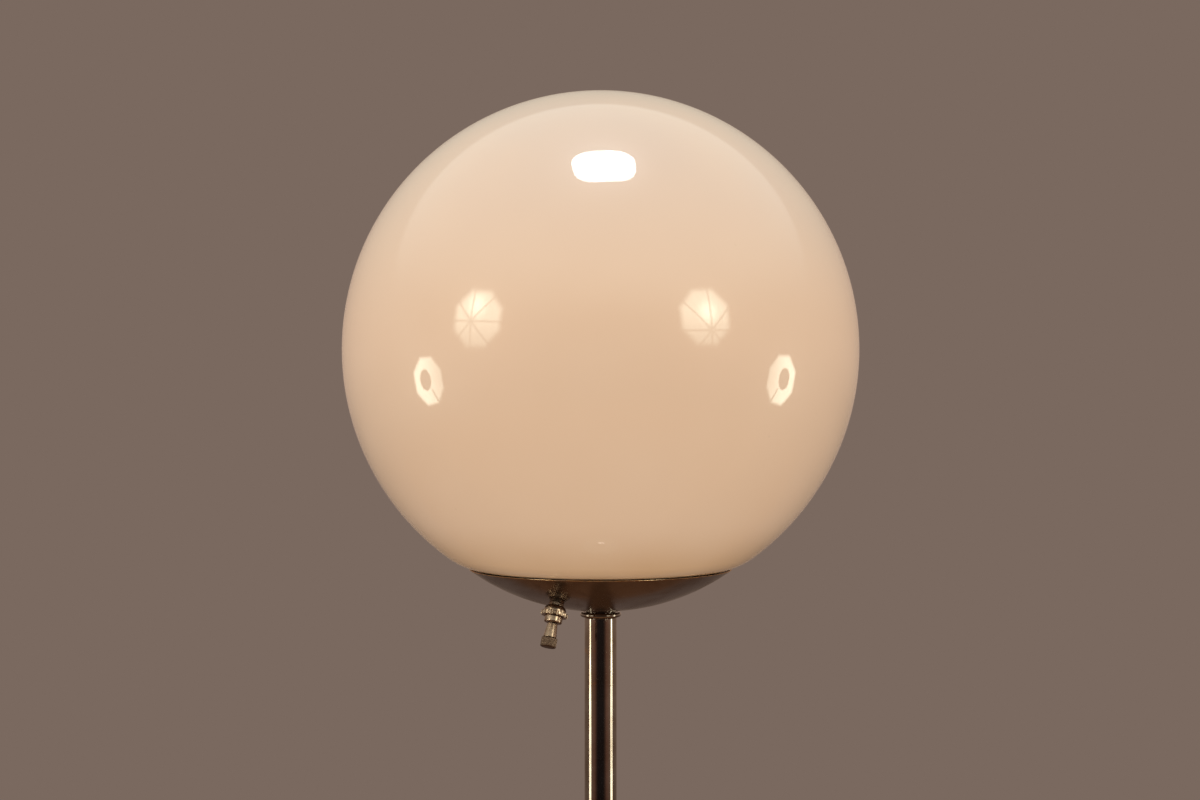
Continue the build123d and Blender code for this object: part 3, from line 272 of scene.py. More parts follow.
class Nodes:
    """Makes and links the nodes of a tree, whose textures read one set of coordinates."""

    def __init__(self, tree, coordinates="Object"):
        self.tree = tree
        self.place = tree.nodes.new("ShaderNodeTexCoord").outputs[coordinates]

    def node(self, kind, options=None, **inputs):
        made = self.tree.nodes.new("ShaderNode" + kind)
        for option, value in (options or {}).items():
            setattr(made, option, value)
        for socket, value in inputs.items():
            self.feed(made.inputs[socket.replace("_", " ")], value)
        return made

    def feed(self, socket, value):
        if isinstance(value, bpy.types.NodeSocket):
            self.tree.links.new(value, socket)
        else:
            socket.default_value = value

    def stretched(self, *scale):
        """The piece's own coordinates, scaled along each axis."""
        return self.node("Mapping", Vector=self.place, Scale=scale).outputs["Vector"]

    def noise(self, scale, detail=4.0, roughness=0.55, distortion=0.0, vector=None):
        settings = {"Scale": scale, "Detail": detail, "Roughness": roughness, "Distortion": distortion}
        return self.node("TexNoise", Vector=vector or self.place, **settings).outputs["Fac"]

    def cells(self, scale):
        return self.node("TexVoronoi", Vector=self.place, Scale=scale).outputs["Distance"]

    def ramp(self, value, low, high, to_low=0.0, to_high=1.0):
        """A smooth step from one pair of numbers to another."""
        made = self.node("MapRange", {"interpolation_type": "SMOOTHSTEP"}, Value=value)
        sockets = ("From Min", "From Max", "To Min", "To Max")
        for socket, number in zip(sockets, (low, high, to_low, to_high)):
            made.inputs[socket].default_value = number
        return made.outputs["Result"]

    def calc(self, kind, first, second=0.0):
        made = self.node("Math", {"operation": kind})
        self.feed(made.inputs[0], first)
        self.feed(made.inputs[1], second)
        return made.outputs["Value"]

    def plus(self, first, second):
        return self.calc("ADD", first, second)

    def minus(self, first, second):
        return self.calc("SUBTRACT", first, second)

    def times(self, first, second):
        return self.calc("MULTIPLY", first, second)

    def length(self, across, up):
        return self.calc("SQRT", self.plus(self.times(across, across), self.times(up, up)))

    def mix(self, share, first, second, blend="MIX"):
        made = self.node("Mix", {"data_type": "RGBA", "blend_type": blend})
        self.feed(made.inputs["Factor"], share)
        colours = [socket for socket in made.inputs if socket.type == "RGBA"]
        self.feed(colours[0], first)
        self.feed(colours[1], second)
        return next(socket for socket in made.outputs if socket.type == "RGBA")

    def part(self, axis):
        return self.node("SeparateXYZ", Vector=self.place).outputs[axis]


LOOKS = {}


class Look(Nodes):
    """A material on the Principled shader, kept in LOOKS under its name."""

    def __init__(self, name, **settings):
        self.material = LOOKS[name] = bpy.data.materials.new(name)
        self.material.use_nodes = True
        super().__init__(self.material.node_tree)
        self.shader = self.tree.nodes["Principled BSDF"]
        self.relief = None
        for socket, value in settings.items():
            self.shader.inputs[socket.replace("_", " ")].default_value = value

    def colour(self, value):
        self.feed(self.shader.inputs["Base Color"], value)

    def roughness(self, value):
        self.feed(self.shader.inputs["Roughness"], value)

    def bump(self, height, distance, strength=1.0):
        """Adds relief of a real depth, in metres."""
        made = self.node("Bump", Height=height, Distance=distance, Strength=strength)
        if self.relief is not None:
            self.tree.links.new(self.relief, made.inputs["Normal"])
        self.relief = made.outputs["Normal"]
        self.tree.links.new(self.relief, self.shader.inputs["Normal"])


def opal_glass():
    """Blown opal glass with a clear outer skin: faint clouds, a few seeds, painted shade low down and a
    paler top of painted light.
    """
    look = Look("opal_glass", IOR=1.45, Specular_IOR_Level=0.15)
    for socket, value in (("Coat Weight", 1.0), ("Coat Roughness", 0.01), ("Coat IOR", 1.5)):
        look.shader.inputs[socket].default_value = value
    # Painted shade: the glass turns darker and more amber low down, where the dish rim shades it.
    tone = look.mix(look.ramp(look.part("Z"), 1.375, 1.415), srgb(222, 178, 132), srgb(241, 203, 168))
    # Painted light: a paler, cooler top that stands in for the overhead light falling on it.
    tone = look.mix(look.ramp(look.part("Z"), 1.53, 1.68), tone, srgb(230, 203, 180))
    tone = look.mix(look.ramp(look.noise(5.0, 3.0), 0.35, 0.65, 0.0, 0.4), tone, srgb(246, 212, 180))
    seeds = look.ramp(look.cells(38.0), 0.0, 0.035, 0.35, 0.0)
    tone = look.mix(seeds, tone, srgb(206, 170, 134))
    look.colour(tone)
    look.roughness(look.ramp(look.noise(14.0, 3.0), 0.3, 0.7, 0.3, 0.38))
    look.bump(look.noise(7.0, 1.0), 0.00012, 0.5)


def aged_chrome(name, waviness, haze=(0.05, 0.16), grain=None, worn=None, blotched=1.0):
    """Old plating: blotches, pits, fine wear, and brass that shows where the plating has gone.

    waviness is the scale and depth of its waves, and grain those of its grain, with the detail and
    the stretch of the grain between them. worn gives the heights between which an edge turns to
    bare brass, in metres.
    """
    look = Look(name, Metallic=1.0)
    blotch = look.noise(38.0, 5.0, 0.62, 0.6)
    fine = look.noise(420.0, 4.0, 0.7)
    pits = look.ramp(look.noise(900.0, 2.0, 0.5), 0.67, 0.74)
    tone = look.mix(look.ramp(blotch, 0.38, 0.66, 0.0, blotched), CHROME_BRIGHT, CHROME_DULL)
    tone = look.mix(look.ramp(fine, 0.62, 0.8, 0.0, 0.4), tone, srgb(96, 76, 60))
    bare = look.ramp(look.noise(55.0, 5.0, 0.66, 0.8), 0.63, 0.73, 0.0, 0.55)
    tone = look.mix(bare, tone, BARE_BRASS)
    if worn:
        edge = look.ramp(look.part("Z"), *worn)
        broken = look.ramp(look.noise(240.0, 3.0, 0.6), 0.35, 0.6, 0.35, 1.0)
        tone = look.mix(look.times(edge, broken), tone, srgb(214, 176, 132))
    tone = look.mix(look.times(pits, 0.7), tone, srgb(74, 52, 36))
    look.colour(tone)
    cloudy = look.ramp(blotch, 0.4, 0.75, *haze)
    cloudy = look.plus(cloudy, look.ramp(fine, 0.5, 0.8, 0.0, 0.07))
    look.roughness(look.plus(cloudy, look.times(pits, 0.25)))
    look.bump(look.noise(waviness[0], 2.0), waviness[1], 1.0)
    look.bump(look.noise(1100.0, 2.0), 0.000003, 1.0)
    if grain:
        look.bump(look.noise(*grain[:2], vector=look.stretched(*grain[2])), grain[3], 1.0)


def old_brass(name, bright, dull, grime, rough=(0.24, 0.32), soiled=0.2):
    """Brass under worn plating, with grime in fine patches."""
    look = Look(name, Metallic=1.0)
    patch = look.noise(170.0, 4.0, 0.55, 0.3)
    fine = look.noise(900.0, 3.0, 0.6)
    tone = look.mix(look.ramp(patch, 0.36, 0.66), bright, dull)
    tone = look.mix(look.ramp(fine, 0.52, 0.75, 0.0, soiled), tone, grime)
    look.colour(tone)
    look.roughness(look.ramp(fine, 0.35, 0.75, *rough))
    look.bump(look.noise(260.0, 2.0), 0.000006, 1.0)
    look.bump(fine, 0.000001, 1.0)


def plain_metal(name, tone, dark, rough, lines=None):
    """Clean metal, a little uneven. lines stretches its fine marks along the axes."""
    look = Look(name, Metallic=1.0)
    patch = look.noise(180.0, 4.0)
    look.colour(look.mix(look.ramp(patch, 0.35, 0.7), tone, dark))
    look.roughness(look.ramp(look.noise(900.0, 3.0), 0.3, 0.7, rough - 0.06, rough + 0.1))
    vector = look.stretched(*lines) if lines else None
    look.bump(look.noise(1400.0, 2.0, vector=vector), 0.00001, 0.7)


def moulded(name, tone, dark, rough, speckle=0.0, **settings):
    """Plastic, rubber, porcelain and fibre board: a smooth skin with faint unevenness."""
    look = Look(name, **settings)
    patch = look.noise(90.0, 3.0)
    shade = look.mix(look.ramp(patch, 0.35, 0.68), tone, dark)
    if speckle:
        spots = look.ramp(look.noise(1600.0, 2.0), 0.62, 0.7, 0.0, speckle)
        shade = look.mix(spots, shade, dark)
    look.colour(shade)
    look.roughness(look.ramp(look.noise(500.0, 3.0), 0.3, 0.7, rough - 0.05, rough + 0.08))
    look.bump(look.noise(320.0, 3.0), 0.00003, 0.6)


def felt_cloth():
    """Pressed felt: tangled fibres, with dust in patches."""
    look = Look("felt", Sheen_Weight=0.6, Sheen_Roughness=0.5)
    fibres = look.noise(1500.0, 6.0, 0.75, 1.2)
    patch = look.noise(30.0, 3.0)
    tone = look.mix(fibres, srgb(34, 42, 36), srgb(70, 80, 70))
    look.colour(look.mix(look.ramp(patch, 0.3, 0.7, 0.0, 0.35), tone, srgb(58, 60, 52)))
    look.roughness(look.ramp(fibres, 0.3, 0.7, 0.88, 0.98))
    look.bump(fibres, 0.0005, 0.9)


def cast_iron():
    """Rough iron with rust in patches."""
    look = Look("iron", Metallic=0.6)
    grit = look.noise(700.0, 6.0, 0.7)
    rust = look.ramp(look.noise(45.0, 5.0, 0.65), 0.52, 0.7, 0.0, 0.7)
    look.colour(look.mix(rust, look.mix(grit, srgb(46, 44, 44), srgb(92, 88, 86)), srgb(96, 58, 38)))
    look.roughness(look.ramp(grit, 0.3, 0.7, 0.62, 0.85))
    look.bump(grit, 0.0004, 0.9)


def thin_glass(name, tint, clear):
    """Blown glass. clear is the share of light that it lets through."""
    look = Look(name, IOR=1.5, Transmission_Weight=clear)
    look.colour(look.mix(look.ramp(look.noise(25.0, 2.0), 0.3, 0.7), tint, srgb(238, 240, 240)))
    look.roughness(look.ramp(look.noise(60.0, 3.0), 0.3, 0.7, 0.0, 0.05))
    look.bump(look.noise(40.0, 1.0), 0.0001, 0.4)


def core_cover(name, tone, dark):
    """The soft plastic round a core or a flex, a little scuffed."""
    look = Look(name)
    scuff = look.noise(800.0, 4.0, 0.6)
    look.colour(look.mix(look.ramp(scuff, 0.4, 0.7), tone, dark))
    look.roughness(look.ramp(scuff, 0.3, 0.7, 0.38, 0.55))
    look.bump(scuff, 0.00003, 0.6)


CHROME_BRIGHT, CHROME_DULL = srgb(157, 147, 138), srgb(138, 123, 110)
BARE_BRASS = srgb(168, 128, 84)
WORN_RIM = ((DISH_RIM_Z - 1.1) * MM, (DISH_RIM_Z - 0.3) * MM)
DRAWN_GRAIN = (300.0, 3.0, (1.0, 1.0, 0.02), 0.000012)
LENGTHWISE = (1.0, 1.0, 0.08)
opal_glass()
aged_chrome("dish_chrome", (34.0, 0.0002), (0.19, 0.29), worn=WORN_RIM)
aged_chrome("pole_chrome", (9.0, 0.00008), (0.035, 0.12), DRAWN_GRAIN)
aged_chrome("base_chrome", (12.0, 0.0001), (0.07, 0.13), blotched=0.5)
old_brass("aged_brass", srgb(170, 148, 129), srgb(143, 121, 102), srgb(92, 74, 60))
old_brass("knurl_brass", srgb(112, 92, 78), srgb(98, 79, 66), srgb(62, 48, 38), (0.4, 0.55), 0.4)
plain_metal("brass", srgb(214, 178, 110), srgb(184, 146, 84), 0.24)
plain_metal("steel", srgb(186, 184, 180), srgb(150, 147, 142), 0.28)
plain_metal("spring_steel", srgb(132, 130, 127), srgb(108, 105, 101), 0.34, LENGTHWISE)
plain_metal("cap_metal", srgb(214, 213, 210), srgb(176, 174, 170), 0.26)
moulded("porcelain", srgb(238, 234, 222), srgb(224, 217, 200), 0.2, 0.3, Coat_Weight=0.7)
moulded("brown_resin", srgb(66, 34, 22), srgb(44, 22, 15), 0.28, Coat_Weight=0.3)
moulded("fibre", srgb(138, 62, 44), srgb(112, 48, 36), 0.6, 0.4)
moulded("soft_rubber", srgb(38, 37, 36), srgb(26, 25, 25), 0.6, 0.3)
moulded("black_glass", srgb(20, 20, 24), srgb(12, 12, 14), 0.12, Coat_Weight=0.6)
felt_cloth()
cast_iron()
thin_glass("clear_glass", srgb(246, 248, 248), 1.0)
thin_glass("stem_glass", srgb(240, 242, 240), 0.85)
core_cover("flex_sheath", srgb(44, 41, 38), srgb(30, 28, 26))
core_cover("core_brown", srgb(112, 66, 38), srgb(88, 50, 28))
core_cover("core_blue", srgb(52, 92, 150), srgb(38, 72, 124))


def finish_piece(piece, body, look, node=None):
    """Gives a piece its material and body, and hides the node that it stands for."""
    piece.data.materials.clear()
    piece.data.materials.append(LOOKS[look])
    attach(piece, body)
    if node:
        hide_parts(node)
    return piece


# ---------------- glass globe
turn_angle = math.degrees(math.atan2(-SHOULDER_DROP, LIP_CENTRE_R))
globe_centre = (0.0, GLOBE_CENTRE_Z)
shoulder_centre = (LIP_CENTRE_R, GLOBE_CENTRE_Z - SHOULDER_DROP)
lip_centre = (LIP_CENTRE_R, GLOBE_BOTTOM_Z + GLOBE_WALL / 2)
globe_outline = (
    arc(globe_centre, GLOBE_RADIUS, 90, turn_angle, 96)
    + arc(shoulder_centre, SHOULDER_CURVE, turn_angle, -90, 16)[1:]
    + arc(lip_centre, GLOBE_WALL / 2, -90, -270, 10)[1:]
    + arc(shoulder_centre, SHOULDER_CURVE - GLOBE_WALL, -90, turn_angle, 10)[1:]
    + arc(globe_centre, GLOBE_RADIUS - GLOBE_WALL, turn_angle, 90, 48)[1:]
)
globe = turned("globe", globe_outline, 192)
finish_piece(globe, "globe", "opal_glass", "glass_globe")


# ---------------- dish
def dish_point(slope, sheet):
    """A point of the dish's outer side, or of its inner side, by the slope there, in radians."""
    if slope <= DISH_KNEE_SLOPE:
        centre, curve = (0.0, DISH_FLOOR_CENTRE_Z), DISH_FLOOR_CURVE
    else:
        centre, curve = DISH_SIDE_CENTRE, DISH_SIDE_CURVE
    return (
        centre[0] + (curve - sheet) * math.sin(slope),
        centre[1] - (curve - sheet) * math.cos(slope),
    )


rim_slope = math.asin((DISH_RIM_RADIUS - DISH_SIDE_CENTRE[0]) / DISH_SIDE_CURVE)
inner_rim_slope = math.asin((DISH_RIM_INNER - DISH_SIDE_CENTRE[0]) / (DISH_SIDE_CURVE - DISH_SHEET))
DISH_STEPS = 48
BORE_RISE = 0.07
outer_steps, inner_steps = range(2, DISH_STEPS), range(DISH_STEPS - 1, 1, -1)
outer_side = [dish_point(rim_slope * step / DISH_STEPS, 0.0) for step in outer_steps]
inner_side = [dish_point(inner_rim_slope * step / DISH_STEPS, DISH_SHEET) for step in inner_steps]
rim_corner = [(DISH_RIM_RADIUS, DISH_RIM_Z), (DISH_RIM_INNER, DISH_RIM_Z)]
rim = rounded([outer_side[-1]] + rim_corner + [inner_side[0]], 0.45, 5, closed=False)
hole_edge = [(BORE, DISH_BOTTOM_Z + DISH_SHEET + BORE_RISE), (BORE, DISH_BOTTOM_Z + BORE_RISE)]
dish = turned("dish_shell", outer_side[:-1] + rim + inner_side[1:] + hole_edge, 192)
drill(dish, SWITCH_BORE, SWITCH_SEAT - SWITCH_AXIS * 4, SWITCH_SEAT + SWITCH_AXIS * 4)
finish_piece(dish, "stand", "dish_chrome", "dish")

# ---------------- pole and its beaded collars
pole_inner = POLE_RADIUS - POLE_WALL
pole_outline = [(POLE_RADIUS, POLE_BOTTOM_Z), (POLE_RADIUS, POLE_TOP_Z)]
pole_outline += [(pole_inner, POLE_TOP_Z), (pole_inner, POLE_BOTTOM_Z)]
pole = turned("pole", rounded(pole_outline, 0.3))
finish_piece(pole, "stand", "pole_chrome", "pole_tube")

collar_outline = [(BORE, 0, 0), (COLLAR_LIP, 0, 0.1), (COLLAR_LIP, 0.4, 0.15), (COLLAR_NECK, 0.4, 0.1)]
collar_outline += [(COLLAR_NECK, 0.9, 0.1)]
collar_outline += [(*point, 0) for point in arc(BEAD_CENTRE, BEAD_RADIUS, -125, 125, 22)]
collar_outline += [(COLLAR_NECK, 4.1, 0.1), (COLLAR_NECK, COLLAR_HEIGHT, 0), (BORE, COLLAR_HEIGHT, 0)]
for name, face, towards in (("pole_top_collar", DISH_BOTTOM_Z, -1), ("pole_bottom_collar", BASE_TOP_Z, 1)):
    outline = [(radius, face + towards * height) for radius, height in rounded(collar_outline, 0.0)]
    finish_piece(turned(name + "_turned", outline), "stand", "pole_chrome", name)

# ---------------- base
edge_centre = (BASE_RADIUS - BASE_EDGE_ROUND, BASE_FLOOR_GAP + BASE_WALL)
dome_centre = (BASE_LAND_RADIUS, BASE_TOP_Z - BASE_DOME_CURVE)
cover_outline = (
    [(BASE_RADIUS, BASE_FLOOR_GAP + 0.2), (BASE_RADIUS, BASE_FLOOR_GAP + 4)]
    + arc(edge_centre, BASE_EDGE_ROUND, 0, 90 - BASE_SLOPE, 14)
    + arc(dome_centre, BASE_DOME_CURVE, 90 - BASE_SLOPE, 90, 40)[1:]
    + [(BORE, BASE_TOP_Z), (BORE, BASE_TOP_Z - BASE_SHEET)]
    + arc(dome_centre, BASE_DOME_CURVE - BASE_SHEET, 90, 90 - BASE_SLOPE, 20)
    + arc(edge_centre, BASE_EDGE_ROUND - BASE_SHEET, 90 - BASE_SLOPE, 0, 8)[1:]
    + [(BASE_RADIUS - BASE_SHEET, BASE_FLOOR_GAP + 0.2), (BASE_RADIUS - 1.3, BASE_FLOOR_GAP)]
    + [(BASE_RADIUS - 0.2, BASE_FLOOR_GAP)]
)
cover = turned("base_cover_spun", cover_outline, 192)
drill(cover, INLET_HOLE_RADIUS, (0, BASE_RADIUS - 8, INLET_Z), (0, BASE_RADIUS + 5, INLET_Z))
finish_piece(cover, "stand", "base_chrome", "base_cover")

felt_outline = [(0, 0), (70, 0), (FELT_RADIUS - 6, 0)]
felt_outline += arc((FELT_RADIUS - 0.8, 0.8), 0.8, -90, 0, 4)
felt_outline += arc((FELT_RADIUS - 0.7, FELT_THICKNESS - 0.7), 0.7, 0, 90, 4)
felt_outline += [(FELT_RADIUS - 6, FELT_THICKNESS), (0, FELT_THICKNESS)]
finish_piece(turned("felt_underside", felt_outline, 160), "stand", "felt", "felt_pad")

# The grommet holds the cover's edge between its two flanges.
grommet_axis = Matrix.Translation((0, 0, INLET_Z * MM)) @ Matrix.Rotation(math.radians(-90), 4, "X")
grommet_outline = [
    (GROMMET_BORE, GROMMET_INNER_END, 0.5),
    (GROMMET_FLANGE, GROMMET_INNER_END, 0.5),
    (GROMMET_FLANGE, GROMMET_INNER_FACE, 0.1),
    (INLET_HOLE_RADIUS, GROMMET_INNER_FACE, 0.0),
    (INLET_HOLE_RADIUS, BASE_RADIUS, 0.0),
    (GROMMET_FLANGE, BASE_RADIUS, 0.1),
    (GROMMET_FLANGE, BASE_RADIUS + 0.7, 0.6),
    (4.4, GROMMET_OUTER_END, 0.5),
    (GROMMET_BORE, GROMMET_OUTER_END, 0.5),
]
grommet = turned("inlet_grommet_moulded", rounded(grommet_outline, 0.0, 5), 64, place=grommet_axis)
finish_piece(grommet, "stand", "soft_rubber", "inlet_grommet")

# ---------------- turn switch, outside the dish
axis_frame = Matrix((SWITCH_SIDE, SWITCH_AXIS.cross(SWITCH_SIDE), SWITCH_AXIS)).transposed().to_4x4()
switch_place = Matrix.Translation(SWITCH_SEAT * MM) @ axis_frame


def switch_piece(name, node, profile, body="stand", look="aged_brass", hold=None, steps=96):
    """A piece turned round the switch's axis."""
    return finish_piece(turned(name, profile, steps, hold, switch_place), body, look, node)


nut_outline = [(SWITCH_BORE, 0.05), (4.55, 0.05), (NUT_CORNER, 0.35), (NUT_CORNER, 1.6)]
nut_outline += [(4.4, NUT_END), (SWITCH_BORE, NUT_END)]
switch_piece("switch_nut_hex", "switch_nut", nut_outline, hold=polygon_edge(NUT_FLATS), steps=144)

dome_outline = [(SWITCH_BORE, NUT_END), (DOME_START_RADIUS, NUT_END)]
for step in range(1, 13):
    t = step / 12
    bulge = 4 * t * (1 - t) * DOME_BULGE
    height = NUT_END + (DOME_END - NUT_END) * t - bulge / 2
    dome_outline.append((DOME_START_RADIUS + DOME_SPREAD * t + bulge, height))
switch_piece("switch_dome_turned", "switch_dome", dome_outline + [(SWITCH_BORE, DOME_END)])

ring_outline = [(SWITCH_BORE, DOME_END, 0), (NOTCHED_RADIUS, DOME_END, 0.5)]
ring_outline += [(NOTCHED_RADIUS, NOTCHED_END, 0.5), (SWITCH_BORE, NOTCHED_END, 0)]
switch_piece(
    "switch_ring_notched",
    "switch_notched_ring",
    rounded(ring_outline, 0, 5),
    hold=scalloped(NOTCHED_RADIUS, NOTCH_RADIUS, NOTCHES, DOME_END - 0.1, NOTCHED_END + 0.1),
    steps=320,
)

end_collar_outline = [
    (SWITCH_BORE, NOTCHED_END, 0),
    (END_COLLAR_RADIUS, NOTCHED_END, 0.5),
    (END_COLLAR_RADIUS, END_COLLAR_END, 0.9),
    (SPINDLE_BORE, END_COLLAR_END, 0),
    (SPINDLE_BORE, END_COLLAR_END - 2, 0),
    (SWITCH_BORE, END_COLLAR_END - 2, 0),
]
switch_piece("switch_collar_turned", "switch_collar", rounded(end_collar_outline, 0, 6))

knob_outline = [
    (0, SPINDLE_END, 0),
    (SPINDLE_BORE, SPINDLE_END, 0),
    (SPINDLE_BORE, KNOB_START, 0),
    (KNOB_NECK_RADIUS, KNOB_START, 0.25),
    (KNOB_WAIST_RADIUS, KNOB_GROOVE, 0.3),
    (KNOB_NECK_RADIUS, KNOB_GROOVE, 0.1),
    (KNOB_NECK_RADIUS, KNOB_BAND, 0.1),
    (KNOB_BAND_RADIUS, KNOB_BAND, 0.35),
    (KNOB_BAND_RADIUS, KNOB_END, 0.9),
    (0, KNOB_END, 0),
]
knob = switch_piece(
    "switch_knob_turned",
    "switch_knob",
    rounded(knob_outline, 0, 5, closed=False),
    body="knob",
    hold=scalloped(KNOB_BAND_RADIUS, 0.24, 42, KNOB_BAND + 0.2, KNOB_END - 0.6),
    steps=420,
)
knob.data.materials.append(LOOKS["knurl_brass"])
for face in knob.data.polygons:
    if face.center.z > (KNOB_BAND - 0.05) * MM:
        face.material_index = 1


# ---------------- what the lifted globe uncovers
def dish_inside(radius):
    """Height of the dish's inner side at a radius."""
    if radius < (DISH_FLOOR_CURVE - DISH_SHEET) * math.sin(DISH_KNEE_SLOPE):
        return DISH_FLOOR_CENTRE_Z - math.sqrt((DISH_FLOOR_CURVE - DISH_SHEET) ** 2 - radius**2)
    reach = radius - DISH_SIDE_CENTRE[0]
    return DISH_SIDE_CENTRE[1] - math.sqrt((DISH_SIDE_CURVE - DISH_SHEET) ** 2 - reach**2)


seat_top = GLOBE_BOTTOM_Z - SEAT_CLEARANCE
seat_outline = [(radius, dish_inside(radius) + 0.05, 0) for radius in (SEAT_INNER, 76.0, 78.0, SEAT_OUTER)]
seat_outline.append((SEAT_OUTER, seat_top, 0.7))
for groove in (78.3, 77.0, 75.7):
    seat_outline += [(groove + 0.4, seat_top, 0.15), (groove, seat_top - 0.6, 0.1)]
    seat_outline.append((groove - 0.4, seat_top, 0.15))
seat_outline.append((SEAT_INNER, seat_top, 0.7))
seat = turned("globe_seat_moulded", rounded(seat_outline, 0), 160)
finish_piece(seat, "stand", "soft_rubber", "globe_seat_ring")

lock_nut_half = [(BORE, 0.0), (7.1, 0.0), (8.09, 0.5)]
lock_nut_outline = [(radius, LOCK_NUT_Z + height) for radius, height in lock_nut_half]
lock_nut_outline += [(radius, LOCK_NUT_Z + 3.5 - height) for radius, height in reversed(lock_nut_half)]
lock_nut = turned("dish_lock_nut_hex", lock_nut_outline, 144, polygon_edge(LOCK_NUT_FLATS))
finish_piece(lock_nut, "stand", "steel", "dish_lock_nut")

# Lampholder: a domed cap, a skirt with a milled band, a glazed ring and a pressed thread.
dome_middle = (HOLDER_NECK, HOLDER_DOME_TOP)
cap_outline = [(BORE, HOLDER_Z), (7.1, HOLDER_Z)]
cap_outline += [(HOLDER_NECK, HOLDER_Z + 0.4), (HOLDER_NECK, HOLDER_Z + 7.5)]
cap_outline += arc(dome_middle, HOLDER_DOME, -86, 0, 14)
cap_outline += [(HOLDER_RADIUS, HOLDER_RIM_Z - 0.2), (19.3, HOLDER_RIM_Z), (18.5, HOLDER_RIM_Z)]
cap_outline += arc(dome_middle, HOLDER_DOME - 1.0, 0, -90, 14) + [(BORE, HOLDER_Z + 9.0)]
cap = turned("holder_cap_spun", cap_outline)
grub_screw = Vector((0, 0, HOLDER_Z + 4.0))
drill(cap, 1.55, grub_screw + SWITCH_SIDE * 4, grub_screw + SWITCH_SIDE * 9, 24)
finish_piece(cap, "stand", "brass", "holder_cap")

skirt_outline = [
    (SKIRT_INNER, SKIRT_Z, 0),
    (SKIRT_BEAD, SKIRT_Z, 0.3),
    (SKIRT_BEAD, SKIRT_Z + 1.6, 0.4),
    (SKIRT_OUTER, SKIRT_Z + 2.0, 0.15),
    (SKIRT_OUTER, SKIRT_Z + 5.0, 0.15),
    (20.5, SKIRT_Z + 5.3, 0.15),
    (20.5, SKIRT_Z + 7.3, 0),
    (20.5, SKIRT_Z + 9.3, 0.15),
    (SKIRT_OUTER, SKIRT_Z + 9.6, 0.15),
    (SKIRT_OUTER, SKIRT_TOP_Z - 3.4, 0.2),
    (SKIRT_BEAD, SKIRT_TOP_Z - 2.8, 0.4),
    (SKIRT_BEAD, SKIRT_TOP_Z, 0.8),
    (SKIRT_MOUTH, SKIRT_TOP_Z, 0.4),
    (SKIRT_MOUTH, SKIRT_TOP_Z - 1.0, 0.1),
    (SKIRT_INNER, SKIRT_TOP_Z - 1.0, 0.2),
]
milling = scalloped(20.5, 0.45, 72, SKIRT_Z + 5.2, SKIRT_Z + 9.4)
skirt = turned("holder_skirt_milled", rounded(skirt_outline, 0), 432, milling)
finish_piece(skirt, "stand", "brass", "holder_skirt")

ring_low, ring_high = SKIRT_TOP_Z - 11.0, SKIRT_TOP_Z - 1.0
glazed_outline = [(GLAZED_RING_BORE, ring_low), (HOLDER_RADIUS, ring_low)]
glazed_outline += [(HOLDER_RADIUS, ring_high), (GLAZED_RING_BORE, ring_high, 1.2)]
glazed_ring = turned("holder_ring_glazed", rounded(glazed_outline, 0.5))
finish_piece(glazed_ring, "stand", "porcelain", "holder_ring")


def thread_side(radius, start, turns, down=False):
    """The side of a pressed thread, close enough in height for its turns to be round."""
    heights = [start + THREAD_PITCH * step / 10 for step in range(10 * turns + 1)]
    return [(radius, height) for height in (reversed(heights) if down else heights)]


shell_outline = thread_side(14.15, INSERT_TOP_Z, 6) + thread_side(13.75, INSERT_TOP_Z, 6, down=True)
shell_thread = helical(THREAD_PITCH, THREAD_DEPTH, INSERT_TOP_Z, INSERT_TOP_Z + 6 * THREAD_PITCH)
shell = turned("holder_screw_shell_pressed", shell_outline, 96, shell_thread, sharp=60)
finish_piece(shell, "stand", "brass", "holder_screw_shell")

# Bulb: a pressed cap on a black glass button, a clear envelope, a stem and a coiled filament.
bulb_cap_outline = [(0, BULB_CAP_Z), (11.9, BULB_CAP_Z), (12.4, BULB_CAP_Z + 0.2)]
bulb_cap_outline += thread_side(12.75, BULB_CAP_Z + THREAD_PITCH / 10, 5)[:-2]
bulb_cap_outline += [(12.75, BULB_CAP_TOP_Z), (12.25, BULB_CAP_TOP_Z)]
bulb_cap_outline += thread_side(12.25, BULB_CAP_Z + 0.55, 5, down=True)[2:] + [(0, BULB_CAP_Z + 0.5)]
cap_thread = helical(THREAD_PITCH, THREAD_DEPTH, BULB_CAP_Z + 0.3, BULB_CAP_TOP_Z)
bulb_cap = turned("bulb_cap_rolled", bulb_cap_outline, 96, cap_thread, sharp=60)
finish_piece(bulb_cap, "bulb", "cap_metal", "bulb_cap")

button_z = BULB_TIP_Z + 1.5
button_outline = [(0, button_z), (4.75, button_z), (5.3, button_z + 0.3), (8.9, button_z + 3.3)]
button_outline += [(9.5, BULB_CAP_Z), (0, BULB_CAP_Z)]
finish_piece(turned("bulb_button", button_outline, 96), "bulb", "black_glass", "bulb_insulator")

solder_outline = [(0, BULB_TIP_Z), (1.9, BULB_TIP_Z + 0.06), (3.4, BULB_TIP_Z + 0.35)]
solder_outline += [(4.4, BULB_TIP_Z + 0.85), (4.7, BULB_TIP_Z + 1.3), (4.7, button_z), (0, button_z)]
solder = turned("bulb_contact_soldered", solder_outline, 64)
finish_piece(solder, "bulb", "cap_metal", "bulb_contact")

